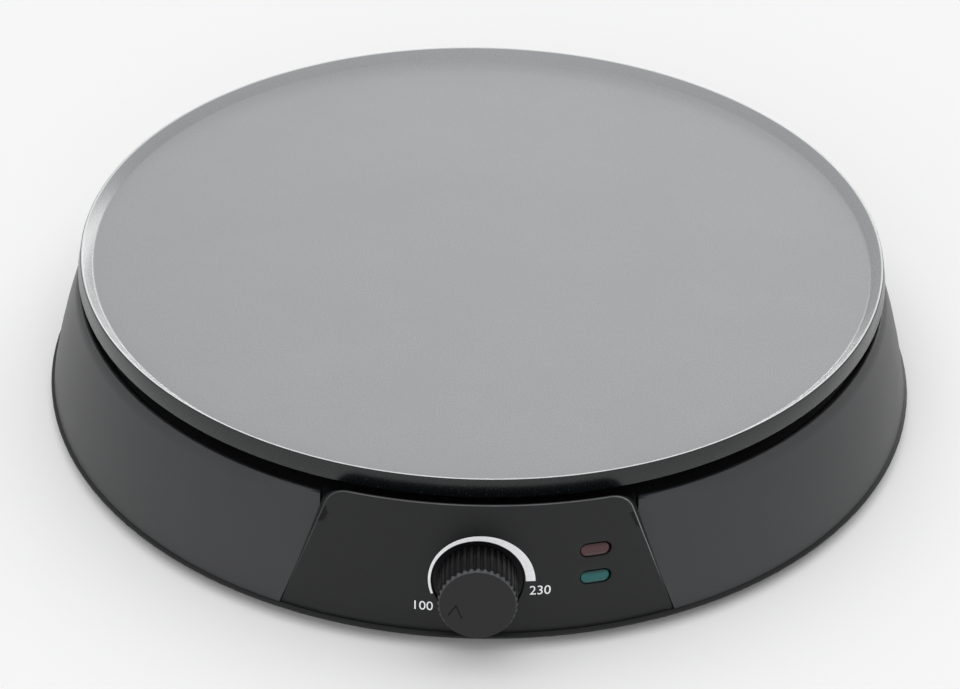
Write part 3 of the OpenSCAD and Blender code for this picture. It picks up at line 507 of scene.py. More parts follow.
@dataclass(frozen=True)
class Metal:
    """Metal with drawn lines or grain, and patches of duller surface.

    Attributes:
        name: the material's name.
        colour: base colour.
        roughness: mean roughness.
        dull: colour of the duller patches.
        lines: stretch of the grain along X; 1 for none.
        metallic: metallic value of the clean surface.
        grain: size of the grain in metres.
        patches: size of the duller patches in metres.
    """

    name: str
    colour: Rgb
    roughness: float = 0.32
    dull: Rgb = (0.30, 0.29, 0.27)
    lines: float = 1.0
    metallic: float = 1.0
    grain: float = 0.0004
    patches: float = 0.006

    def material(self) -> bpy.types.Material:
        """Build the node material.

        Returns:
            The material.
        """
        tree = Tree(self.name)
        stretched = tree.vector("MULTIPLY", tree.place, (1 / self.lines, 1.0, 1.0))
        grain = tree.noise(self.grain, vector=stretched)
        patch = tree.noise(self.patches, 3).ramp(0.55, 0.75)
        return tree.finish(
            Base_Color=tree.blend(patch * 0.5, self.colour, self.dull),
            Metallic=self.metallic - 0.15 * patch,
            Roughness=self.roughness + 0.16 * (grain - 0.5) + 0.15 * patch,
            Normal=tree.bump(grain, 0.00001),
        )


@dataclass(frozen=True)
class Ceramic:
    """Matt fired ceramic with pores and faint stains.

    Attributes:
        name: the material's name.
        colour: base colour.
        pore_gap: spacing of the pores in metres.
        stains: size of the stains in metres.
    """

    name: str = "ceramic"
    colour: Rgb = rgb(226, 220, 205)
    pore_gap: float = 0.0006
    stains: float = 0.008

    def material(self) -> bpy.types.Material:
        """Build the node material.

        Returns:
            The material.
        """
        tree = Tree(self.name)
        pores = tree.cells(self.pore_gap).ramp(0.25, 0.05)
        stain = tree.noise(self.stains, 3).ramp(0.45, 0.8)
        return tree.finish(
            Base_Color=tree.blend(stain * 0.6, self.colour, shaded(self.colour, 0.7)),
            Roughness=0.62 + 0.1 * pores,
            Normal=tree.bump(1 - pores, 0.00003),
        )


@dataclass(frozen=True)
class PlainPlastic:
    """Moulded plastic or rubber in one colour, with flow marks and a fine grain.

    Attributes:
        name: the material's name.
        colour: base colour.
        roughness: mean roughness.
        grain: size of the grain in metres.
        flow: size of the flow marks in metres.
    """

    name: str
    colour: Rgb
    roughness: float = 0.5
    grain: float = 0.0005
    flow: float = 0.012

    def material(self) -> bpy.types.Material:
        """Build the node material.

        Returns:
            The material.
        """
        tree = Tree(self.name)
        grain = tree.noise(self.grain, 3)
        return tree.finish(
            Base_Color=tree.blend(
                tree.noise(self.flow, 2), shaded(self.colour, 0.8), self.colour
            ),
            Roughness=self.roughness + 0.12 * (grain - 0.5),
            Normal=tree.bump(grain, 0.00002),
        )


@dataclass(frozen=True)
class Sleeve:
    """Woven glass sleeving of a lead: two crossing sets of fine ribs.

    Attributes:
        name: the material's name.
        colour: colour of the yarn.
        ribs: scale of the wave that makes the ribs.
    """

    name: str = "lead_sleeve"
    colour: Rgb = rgb(176, 150, 110)
    ribs: float = 380.0

    def set_of_ribs(self, tree: Tree, way: str) -> Signal:
        """Height of one set of ribs, from 0 to 1, across the given direction."""
        values = {"Vector": tree.place, "Scale": self.ribs}
        wave = tree.add("ShaderNodeTexWave", values, bands_direction=way)
        return tree.add("ShaderNodeRGBToBW", {0: wave})

    def material(self) -> bpy.types.Material:
        """Build the node material.

        Returns:
            The material.
        """
        tree = Tree(self.name)
        weave = self.set_of_ribs(tree, "DIAGONAL") * self.set_of_ribs(tree, "Y")
        return tree.finish(
            Base_Color=tree.blend(weave, shaded(self.colour, 0.5), self.colour),
            Roughness=0.8 - 0.1 * weave,
            Normal=tree.bump(weave, 0.00015),
        )


@dataclass(frozen=True)
class LensPlastic:
    """Tinted plastic of a signal lamp that is off, a little cloudy and coated with gloss.

    Attributes:
        name: the material's name.
        colour: tint.
        edge: tint of the painted shadow towards the lens's top.
        middle: height of the lens's middle in metres.
        half_height: its half height in metres.
        clouds: size of the cloudiness in metres.
    """

    name: str
    colour: Rgb
    edge: Rgb
    middle: float
    half_height: float = 0.0024
    clouds: float = 0.0015

    def material(self) -> bpy.types.Material:
        """Build the node material.

        The height on the panel, as a share of the half height, darkens the tint
        towards the top with a painted shadow of the window's upper wall, and pales it
        towards the bottom with a painted reflection.

        Returns:
            The material.
        """
        tree = Tree(self.name)
        rise = (tree.axis(2) - self.middle) / self.half_height
        cloud = tree.noise(self.clouds, 2)
        # painted reflection towards the bottom, painted shadow of the window's wall towards the
        # top
        pale = shaded(self.colour, 0.5, 0.07)
        body = tree.blend(rise.ramp(-0.3, -0.9) * 0.7, self.colour, pale)
        tint = tree.blend(rise.ramp(0.35, 0.9), body, self.edge)
        return tree.finish(
            Base_Color=tree.blend(cloud * 0.35, tint, self.edge),
            Roughness=0.16 + 0.10 * cloud,
            Normal=tree.bump(cloud, 0.00004),
            Specular_IOR_Level=0.35,
            Coat_Weight=0.15,
            Coat_Roughness=0.08,
        )


@dataclass(frozen=True)
class PrintedInk:
    """Pale screen-printed ink with slightly uneven cover.

    Attributes:
        name: the material's name.
        colour: colour of the ink.
        cover: size of the patches in its cover, in metres.
    """

    name: str = "printed_ink"
    colour: Rgb = rgb(244, 244, 246)
    cover: float = 0.0008

    def material(self) -> bpy.types.Material:
        """Build the node material.

        Returns:
            The material.
        """
        tree = Tree(self.name)
        cover = tree.noise(self.cover, 3)
        thin = shaded(self.colour, 0.94)
        return tree.finish(
            Base_Color=tree.blend(cover.ramp(0.35, 0.6), thin, self.colour),
            Roughness=0.45 + 0.1 * (cover - 0.5),
        )


# ---------------------------------------------------------------- mesh building


@dataclass
class Shell:
    """A surface: points in millimetres and the faces between them.

    Attributes:
        points: array of shape (n, 3).
        faces: arrays of point numbers, one row for each face.
    """

    points: np.ndarray
    faces: list[np.ndarray]

    def moved(self, mapping: Callable[[np.ndarray], np.ndarray]) -> "Shell":
        """The same faces on points sent through a mapping of whole arrays."""
        return Shell(mapping(self.points), self.faces)


def grid(points: np.ndarray, wrap_rows: bool = False, wrap_columns: bool = False) -> Shell:
    """Quads between the neighbours of a grid of points.

    Args:
        points: array of shape (rows, columns, 3).
        wrap_rows: also join the last row to the first.
        wrap_columns: also join the last column to the first.

    Returns:
        The surface.
    """
    rows, columns = points.shape[:2]
    index = np.arange(rows * columns).reshape(rows, columns)
    if wrap_rows:
        index = np.vstack([index, index[:1]])
    if wrap_columns:
        index = np.hstack([index, index[:, :1]])
    quads = np.stack([index[:-1, :-1], index[1:, :-1], index[1:, 1:], index[:-1, 1:]], axis=-1)
    return Shell(points.reshape(-1, 3), [quads.reshape(-1, 4)])


def revolve(profile: np.ndarray, columns: int) -> Shell:
    """Turn a profile that starts and ends on the Z axis about that axis.

    A point is (r cos a, r sin a, z), with a in equal steps around the circle.

    Args:
        profile: array of shape (n, 2) of radius and height.
        columns: steps around the circle.

    Returns:
        The closed surface.
    """
    angle = np.linspace(0, 2 * math.pi, columns, endpoint=False)
    r, z = profile[:, :1], np.repeat(profile[:, 1:], columns, axis=1)
    points = np.stack([r * np.cos(angle), r * np.sin(angle), z], axis=-1)
    return grid(points, wrap_columns=True)


def raised(flat: np.ndarray, out: np.ndarray | float) -> np.ndarray:
    """Flat points with a distance outwards, or one for each, as third coordinate."""
    return np.column_stack([flat, out + np.zeros(len(flat))])


def turning(degrees: float) -> Callable[[np.ndarray], np.ndarray]:
    """Prepare to turn points about the Z axis, as a product with a matrix.

    Args:
        degrees: the angle.

    Returns:
        The mapping of whole arrays of points.
    """
    c, s = math.cos(math.radians(degrees)), math.sin(math.radians(degrees))
    rows = np.array([[c, s, 0], [-s, c, 0], [0, 0, 1]])
    return lambda points: points @ rows


def block(low: Sequence[float], high: Sequence[float]) -> Shell:
    """A box: the corners of a rectangle at two heights, and two caps.

    Args:
        low: the box's lowest corner.
        high: its highest corner.

    Returns:
        The closed surface.
    """
    (x0, y0, z0), (x1, y1, z1) = low, high
    square = np.array([[x0, y0], [x1, y0], [x1, y1], [x0, y1]], float)
    rows = np.stack([raised(square, z) for z in (z0, z1)])
    shell = grid(rows, wrap_columns=True)
    shell.faces.append(np.array([[3, 2, 1, 0], [4, 5, 6, 7]]))
    return shell


def inside(points: np.ndarray, loop: np.ndarray) -> np.ndarray:
    """Whether flat points lie inside a loop, by counting the edges that a ray crosses.

    Args:
        points: array of shape (n, 2).
        loop: corners of the loop in order, of shape (m, 2).

    Returns:
        A mask of length n.
    """
    a, b = loop, np.roll(loop, -1, axis=0)
    x, y = points[:, :1], points[:, 1:]
    spans = (a[:, 1] > y) != (b[:, 1] > y)
    with np.errstate(divide="ignore", invalid="ignore"):
        cross_x = a[:, 0] + (y - a[:, 1]) * (b[:, 0] - a[:, 0]) / (b[:, 1] - a[:, 1])
    return (np.sum(spans & (x < cross_x), axis=1) % 2).astype(bool)


def region(
    outer: np.ndarray, holes: Sequence[np.ndarray], step: float
) -> tuple[np.ndarray, np.ndarray]:
    """Fill a flat outline with triangles, leaving its holes open.

    A triangular lattice of points is laid over the outline. Those outside it, in a
    hole or less than 0.45 steps from an edge are dropped, and the rest is joined to
    the loops by a constrained Delaunay triangulation.

    Args:
        outer: the outline, of shape (n, 2).
        holes: loops inside it.
        step: spacing of the lattice.

    Returns:
        The points, loops first, and the triangles.
    """

    def open_at(places: np.ndarray) -> np.ndarray:
        """Whether flat points lie inside the outline and outside every hole.

        Args:
            places: array of shape (n, 2).

        Returns:
            A mask of length n.
        """
        kept = inside(places, outer)
        for hole in holes:
            kept &= ~inside(places, hole)
        return kept

    low, high = outer.min(0), outer.max(0)
    xs, ys = np.arange(low[0], high[0], step), np.arange(low[1], high[1], step * 0.866)
    x, y = np.meshgrid(xs, ys)
    x = x + (np.arange(len(ys)) % 2)[:, None] * step / 2
    lattice = np.column_stack([x.ravel(), y.ravel()])
    loops = [outer, *holes]
    rim = np.concatenate(loops)
    lattice = lattice[open_at(lattice)]
    gap = np.sqrt(((lattice[:, None] - rim[None]) ** 2).sum(-1)).min(1)
    points = np.concatenate([rim, lattice[gap > step * 0.45]])
    starts = np.cumsum([0] + [len(loop) for loop in loops])
    edges = [
        (int(s + i), int(s + (i + 1) % len(loop)))
        for s, loop in zip(starts, loops)
        for i in range(len(loop))
    ]
    found = delaunay_2d_cdt([Vector(p) for p in points.tolist()], edges, [], 0, TINY)
    flat = np.array([tuple(v) for v in found[0]])
    triangles = np.array([f for f in found[2] if len(f) == 3])
    return flat, triangles[open_at(flat[triangles].mean(1))]


def stadium(width: float, height: float, inset: float = 0.0, arc: int = 16) -> np.ndarray:
    """Outline of a stadium: two half circles joined by straight lines.

    Args:
        width: overall width.
        height: overall height.
        inset: distance by which the outline is drawn in.
        arc: steps in each half circle.

    Returns:
        The outline, of shape (n, 2), anticlockwise.
    """
    r, half = height / 2 - inset, (width - height) / 2
    a = np.linspace(-math.pi / 2, math.pi / 2, arc + 1)
    right = np.column_stack([half + r * np.cos(a), r * np.sin(a)])
    straight = np.linspace(half, -half, 6)[1:-1]
    top = np.column_stack([straight, np.full(4, r)])
    return np.concatenate([right, top, -right, -top])


def circle(radius: float, steps: int) -> np.ndarray:
    """A circle about the origin, of shape (steps, 2)."""
    a = np.linspace(0, 2 * math.pi, steps, endpoint=False)
    return radius * np.column_stack([np.cos(a), np.sin(a)])


def rounded(corners: np.ndarray, radius: float, steps: int = 5) -> np.ndarray:
    """Soften the corners of a polygon.

    Each corner becomes a quadratic curve from a point before it to a point after it,
    radius away, with the corner as its control point.

    Args:
        corners: the polygon, of shape (n, 2).
        radius: distance from the corner at which its curve starts.
        steps: pieces of each curve.

    Returns:
        The softened outline.
    """
    start, end = (
        corners + radius * way / np.linalg.norm(way, axis=1)[:, None]
        for way in (np.roll(corners, shift, axis=0) - corners for shift in (1, -1))
    )
    t = np.linspace(0, 1, steps + 1)[None, :, None]
    start, middle, end = (point[:, None] for point in (start, corners, end))
    curve = (1 - t) ** 2 * start + 2 * t * (1 - t) * middle + t**2 * end
    return curve.reshape(-1, 2)


def read(
    items: bpy.types.bpy_prop_collection, name: str, width: int = 3, kind: type = float
) -> np.ndarray:
    """One property of all a mesh's vertices, corners or faces, as an array.

    Args:
        items: the vertices, corners or faces.
        name: the property.
        width: how many numbers it has.
        kind: type of those numbers.

    Returns:
        An array of shape (n, width), or of length n where the width is 1.
    """
    values = np.empty(len(items) * width, kind)
    items.foreach_get(name, values)
    return values if width == 1 else values.reshape(-1, width)


def add_object(name: str, data: bpy.types.ID) -> bpy.types.Object:
    """Make an object and put it in the scene.

    Args:
        name: the object's name.
        data: its mesh, curve, lamp or camera.

    Returns:
        The object.
    """
    item = bpy.data.objects.new(name, data)
    bpy.context.scene.collection.objects.link(item)
    return item


def settle(mesh: bpy.types.Mesh, sharp: float, turn: bool) -> None:
    """Merge a mesh's doubles and shade it smooth up to an angle.

    Args:
        mesh: the mesh, in metres.
        sharp: angle in degrees above which an edge stays sharp.
        turn: whether to recalculate which way the faces point.
    """
    work = bmesh.new()
    work.from_mesh(mesh)
    bmesh.ops.remove_doubles(work, verts=work.verts, dist=TINY)
    bmesh.ops.dissolve_degenerate(work, edges=work.edges, dist=TINY / 10)
    if turn:
        bmesh.ops.recalc_face_normals(work, faces=work.faces)
    work.to_mesh(mesh)
    work.free()
    mesh.shade_smooth()
    mesh.set_sharp_from_angle(angle=math.radians(sharp))


@dataclass(frozen=True)
class Piece:
    """Where a finished mesh belongs.

    Attributes:
        name: name of the object.
        body: body that it rides on.
        slot: the record's material slot; not used.
        replaces: CAD nodes that it stands for.
        sharp: angle in degrees above which its edges stay sharp.
    """

    name: str
    body: Body
    slot: str
    replaces: tuple[str, ...] = ()
    sharp: float = 32.0

    def link(self, mesh: bpy.types.Mesh, material: bpy.types.Material) -> bpy.types.Object:
        """Make the object, dress it and tie it to its body.

        Args:
            mesh: the finished mesh, in metres.
            material: what it wears.

        Returns:
            The object.
        """
        mesh.materials.clear()
        mesh.materials.append(material)
        item = add_object(self.name, mesh)
        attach(item, self.body.value)
        if self.replaces:
            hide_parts(*self.replaces)
        log.info("%s: %d faces on %s", self.name, len(mesh.polygons), self.body.value)
        return item

    def build(
        self,
        shells: Sequence[Shell],
        material: bpy.types.Material,
        marks: np.ndarray | None = None,
    ) -> bpy.types.Object:
        """Join surfaces into one mesh and link it.

        Args:
            shells: the surfaces, in millimetres.
            material: what the piece wears.
            marks: points of shape (n, 4) with the share of painted highlight that the edge
            attribute takes at the mesh's point there; it is 0 elsewhere.

        Returns:
            The object.
        """
        points = np.concatenate([s.points for s in shells]) * MM
        starts = np.cumsum([0] + [len(s.points) for s in shells])
        faces = [
            row
            for shell, start in zip(shells, starts)
            for some in shell.faces
            for row in (some + start).tolist()
        ]
        mesh = bpy.data.meshes.new(self.name)
        mesh.from_pydata(points.tolist(), [], faces)
        settle(mesh, self.sharp, turn=True)
        # the edge attribute holds the share of painted highlight along the panel's edge
        if marks is not None:
            places = np.round(marks[:, :3], 2).tolist()
            values = dict(zip(map(tuple, places), marks[:, 3].tolist()))
            keys = np.round(read(mesh.vertices, "co") / MM, 2).tolist()
            edge = mesh.attributes.new("edge", "FLOAT", "POINT")
            edge.data.foreach_set("value", [values.get(tuple(key), 0.0) for key in keys])
        return self.link(mesh, material)

    def copy(self, node: str, material: bpy.types.Material) -> bpy.types.Object:
        """Stand a merged, smoothly shaded copy in for one CAD node.

        Args:
            node: the node's name.
            material: what the copy wears.

        Returns:
            The object.
        """
        mesh = frame["nodes"][node].data.copy()
        mesh.name = self.name
        settle(mesh, self.sharp, turn=False)
        return self.link(mesh, material)


# ------------------------------------------------------------------ the panel's face


@dataclass(frozen=True)
class PanelFace:
    """The leaning cone that the panel's front lies on.

    Attributes:
        foot_radius: radius at foot_height.
        foot_height: height above the flange at which the radius is given.
        tilt: lean from upright in degrees.
        feet: height of the feet, from the floor to the flange.
    """

    foot_radius: float = 166.3
    foot_height: float = 3.0
    tilt: float = 8.5
    feet: float = 5.0

    def radius(self, z: np.ndarray | float) -> np.ndarray | float:
        """Radius at a height above the flange: it shrinks by the tangent of the tilt."""
        return self.foot_radius - math.tan(math.radians(self.tilt)) * (z - self.foot_height)

    def front(
        self, x: np.ndarray, z: np.ndarray, inset: float = 0.0, back: float = 0.0
    ) -> np.ndarray:
        """Points on the cone in front of the axis.

        y is minus the root of (R(z) - inset) squared less x squared, plus back.

        Args:
            x: sideways places.
            z: heights above the flange.
            inset: amount by which the cone is drawn in.
            back: distance behind the cone along Y.

        Returns:
            Points of shape (n, 3), measured from the floor.
        """
        y = -np.sqrt((self.radius(z) - inset) ** 2 - x**2) + back
        return np.stack([x, y, z + self.feet], axis=-1)

    def axes(self, azimuth: float, z: float) -> tuple[np.ndarray, np.ndarray]:
        """A place on the face and the directions there.

        Args:
            azimuth: angle from the panel's middle, in degrees, towards +X.
            z: height above the flange.

        Returns:
            The place, and the directions sideways, up the face and outwards as rows.
        """
        a, t = math.radians(azimuth), math.radians(self.tilt)
        out = np.array([math.sin(a), -math.cos(a), 0.0])
        side = np.array([math.cos(a), math.sin(a), 0.0])
        up = np.array([0.0, 0.0, 1.0])
        origin = self.radius(z) * out + np.array([0, 0, z])
        rows = [side, math.cos(t) * up - math.sin(t) * out, math.cos(t) * out + math.sin(t) * up]
        return origin, np.array(rows)

    def local(self, azimuth: float, z: float, points: np.ndarray) -> np.ndarray:
        """Points given as sideways, up and outwards, as points measured from the floor."""
        origin, rows = self.axes(azimuth, z)
        return origin + points @ rows + np.array([0, 0, self.feet])

    def lift(self, azimuth: float, z: float, flat: np.ndarray, inset: float = 0.0) -> np.ndarray:
        """Distances outwards at which flat points reach the cone.

        Newton steps on the distance from the axis less the cone's radius; its slope
        along the outward direction is close to 1.

        Args:
            azimuth: angle of the local origin in degrees.
            z: its height above the flange.
            flat: points of shape (n, 2), sideways and up.
            inset: amount by which the cone is drawn in.

        Returns:
            One distance for each point.
        """
        out = np.zeros(len(flat))
        for _ in range(8):
            p = self.local(azimuth, z, raised(flat, out)) - np.array([0, 0, self.feet])
            out -= np.hypot(p[:, 0], p[:, 1]) - (self.radius(p[:, 2]) - inset)
        return out

    def laid(
        self,
        azimuth: float,
        z: float,
        flat: np.ndarray,
        above: np.ndarray | float = 0.0,
        inset: float = 0.0,
    ) -> np.ndarray:
        """Flat points laid on the cone, at a height above it.

        Args:
            azimuth: angle of the local origin in degrees.
            z: its height above the flange.
            flat: points of shape (n, 2).
            above: distance outwards from the cone.
            inset: amount by which the cone is drawn in.

        Returns:
            Points of shape (n, 3), measured from the floor.
        """
        out = self.lift(azimuth, z, flat, inset) + above
        return self.local(azimuth, z, raised(flat, out))


@dataclass(frozen=True)
class Studio:
    """Camera, lamps, world and floor.

    Attributes:
        focal: focal length in pixels of the photograph's frame.
        elevation: how far the camera looks down, in degrees.
        roll: turn about the line of sight in degrees.
        heading: turn of the camera and its place about the plate's axis, in degrees.
        camera: the camera's place in metres before that turn.
        backdrop: level that the camera and mirrors see around the object.
        ambient: strength of the light from all sides.
        back_sheen: place of the reflected lamp behind the object, in metres.
        reach: half width of the floor in metres.
    """

    focal: float = 2219.3
    elevation: float = 35.06
    roll: float = 1.30
    heading: float = -0.35
    camera: Place = (-0.00006, -0.7211, 0.514)
    backdrop: float = grey(246)
    ambient: float = 0.24
    back_sheen: Place = (0.9, 3.3, 0.85)
    reach: float = 6.0

    def build(self) -> None:
        """Set the camera, the light and the floor."""
        bpy.context.scene.view_settings.view_transform = "Standard"
        self._camera()
        self._world()
        self._sun("top_light", strength=1.75, toward=(0.04, 0.16, 0.98), angle=90)
        self._sun("front_light", strength=1.25, toward=(-0.12, -0.80, 0.56), angle=70)
        self._softbox("back_sheen", power=60, place=self.back_sheen, size=(3.2, 0.9))
        self._floor()

    def _camera(self) -> None:
        """Place the camera: tip it down, roll it, then turn it about the plate's axis."""
        e, r = math.radians(self.elevation), math.radians(self.roll)
        forward = Vector((0, math.cos(e), -math.sin(e)))
        right = Vector((1, 0, 0))
        up = right.cross(forward)
        x = math.cos(r) * right + math.sin(r) * up
        y = -math.sin(r) * right + math.cos(r) * up
        data = bpy.data.cameras.new("camera")
        data.sensor_width = SENSOR_WIDTH
        data.lens = self.focal / PICTURE_WIDTH * SENSOR_WIDTH
        data.clip_start = 0.01
        item = add_object("camera", data)
        turn = Matrix((x, y, -forward)).transposed().to_4x4()
        around = Matrix.Rotation(math.radians(self.heading), 4, "Z")
        item.matrix_world = around @ Matrix.Translation(Vector(self.camera)) @ turn
        bpy.context.scene.camera = item

    def _world(self) -> None:
        """Light from all sides; the camera and glossy or clear surfaces see the backdrop."""
        tree = Tree("studio", "worlds")
        seen, *others = (
            tree.add("ShaderNodeLightPath", output=f"Is {ray} Ray")
            for ray in ("Camera", "Glossy", "Transmission")
        )
        lamp, sky = (
            tree.add("ShaderNodeBackground", {"Color": (1.0, 1.0, 1.0), "Strength": strength})
            for strength in (self.ambient, self.backdrop)
        )
        mixed = tree.add("ShaderNodeMixShader", {0: seen.largest(*others), 1: lamp, 2: sky})
        tree.add("ShaderNodeOutputWorld", {"Surface": mixed})
        bpy.context.scene.world = tree.owner

    def _lamp(self, name: str, kind: str, toward: Place, **settings: object) -> bpy.types.Object:
        """Add a lamp that faces the middle of the floor.

        Args:
            name: the lamp's name.
            kind: its type.
            toward: direction in which it lies.
            settings: its own settings.

        Returns:
            The lamp.
        """
        data = bpy.data.lights.new(name, kind)
        for key, value in settings.items():
            setattr(data, key, value)
        item = add_object(name, data)
        item.rotation_euler = Vector(toward).to_track_quat("Z", "Y").to_euler()
        return item

    def _softbox(self, name: str, power: float, place: Place, size: tuple[float, float]) -> None:
        """Add a broad lamp that shows in reflections only.

        Args:
            name: the lamp's name.
            power: its power in watts.
            place: its middle, in metres.
            size: its width and height in metres.
        """
        width, height = size
        shape = {"shape": "RECTANGLE", "size": width, "size_y": height}
        item = self._lamp(name, "AREA", place, energy=power, **shape)
        item.location = place
        item.visible_camera = item.visible_diffuse = False

    def _sun(self, name: str, strength: float, toward: Place, angle: float) -> None:
        """Add a broad far lamp that gives even light and no glare of its own.

        Args:
            name: the lamp's name.
            strength: irradiance in watts for each square metre.
            toward: direction in which the lamp lies.
            angle: its apparent size in degrees.
        """
        item = self._lamp(name, "SUN", toward, energy=strength, angle=math.radians(angle))
        item.visible_glossy = False

    def _floor(self) -> None:
        """Lay a plain pale floor."""
        tree = Tree("floor")
        tone = tree.noise(0.6, 1)
        material = tree.finish(
            Base_Color=tree.blend(tone, rgb(245, 245, 245), rgb(246, 246, 246)),
            Roughness=0.9,
            Specular_IOR_Level=0.0,
        )
        corners = self.reach * np.array([[-1, -1, 0], [1, -1, 0], [1, 1, 0], [-1, 1, 0]])
        mesh = bpy.data.meshes.new("floor")
        mesh.from_pydata(corners.tolist(), [], [(0, 1, 2, 3)])
        mesh.materials.append(material)
        add_object("floor", mesh)


# ---------------------------------------------------------------- sub-assemblies


@dataclass(frozen=True)
class Hotplate:
    """The cooking plate: a merged copy of its solid with a finer dish.

    Attributes:
        floor: height of the solid's cooking surface, from the floor.
        crest: height at which the slope meets the rim's crest.
        out: how far the slope's foot moves outwards.
        down: how far the cooking surface sinks.
        slope: radii between which points also move outwards.
        level: radius within which all that lies near the surface sinks with it.
        bores: how far below the surface the ends of the bores may lie.
        slack: how far below the surface a point still belongs to the slope.
        coating: its finish.
    """

    floor: float = 56.8
    crest: float = 60.4
    out: float = 1.1
    down: float = 0.3
    slope: tuple[float, float] = (100.0, 151.9)
    level: float = 145.0
    bores: float = 1.0
    slack: float = 0.05
    coating: PlateCoating = PlateCoating()

    def build(self) -> None:
        """Make and dress the plate.

        Each point of the top moves by (1 - s) times the full shift, where s is its
        share of the way up from the cooking surface to the crest. The ends of the
        bores just under the surface sink with it.
        """
        piece = Piece("plate_finish", Body.BASE, "plate_coating", ("cooking_plate",), sharp=34)
        mesh = piece.copy("cooking_plate", self.coating.material()).data
        points = read(mesh.vertices, "co") / MM
        radius, z = np.hypot(points[:, 0], points[:, 1]), points[:, 2]
        share = np.clip((z - self.floor) / (self.crest - self.floor), 0, 1)
        near, far = self.slope
        moves = np.where((z > self.floor - self.slack) & (radius < far), 1 - share, 0.0)
        moves[(z > self.floor - self.bores) & (radius < self.level)] = 1.0
        outward = np.where(radius > near, self.out * moves / np.maximum(radius, 1), 0.0)
        points[:, :2] *= 1 + outward[:, None]
        points[:, 2] -= self.down * moves
        mesh.vertices.foreach_set("co", points.ravel() * MM)
        mesh.update()


@dataclass(frozen=True)
class Base:
    """The sloping housing, the bottom cover, the feet and the cord inlet.

    Attributes:
        wall: the housing's finish.
        cover: finish of the bottom cover and of the cord inlet.
        rubber: finish of the feet.
        facing: least share of a direction for a face to count as turned that way.
        leaning: least upward share in the normals of the wall's sloping faces.
    """

    wall: MouldedBlack = MouldedBlack("housing_black", rgb(46, 47, 49), 0.44)
    cover: MouldedBlack = MouldedBlack("cover_black", rgb(18, 19, 20), 0.48, 0.3)
    rubber: PlainPlastic = PlainPlastic("foot_rubber", rgb(28, 28, 28), 0.7)
    facing: float = 0.9
    leaning: float = 0.3

    def even(self, mesh: bpy.types.Mesh) -> None:
        """Shade the outer wall beside the panel's opening as if it ran on.

        There every corner of the wall's faces keeps its face's slope, and its normal
        points straight away from the axis otherwise.

        Args:
            mesh: the housing's mesh, in metres.
        """
        corners = read(mesh.loops, "vertex_index", 1, int)
        sizes = read(mesh.polygons, "loop_total", 1, int)
        faces = np.repeat(read(mesh.polygons, "normal"), sizes, axis=0)
        normals = read(mesh.corner_normals, "vector")
        away = read(mesh.vertices, "co")[corners, :2]
        away /= np.linalg.norm(away, axis=1)[:, None]
        turned_out = np.sum(away * faces[:, :2], axis=1) > self.facing
        wall = turned_out & (faces[:, 2] > self.leaning) & (away[:, 1] < -self.facing)
        rise = faces[wall, 2]
        normals[wall] = np.column_stack([away[wall] * np.sqrt(1 - rise**2)[:, None], rise])
        mesh.normals_split_custom_set(normals.tolist())

    def build(self) -> None:
        """Dress the base's outer pieces."""
        materials = {f.name: f.material() for f in (self.wall, self.cover, self.rubber)}
        for name, node, finish in (
            ("housing_finish", "housing", self.wall),
            ("cover_finish", "bottom_cover", self.cover),
            ("inlet_finish", "cord_gland", self.cover),
            ("feet_finish", "feet", self.rubber),
        ):
            piece = Piece(name, Body.BASE, finish.name, (node,), sharp=30)
            item = piece.copy(node, materials[finish.name])
            if node == "housing":
                self.even(item.data)


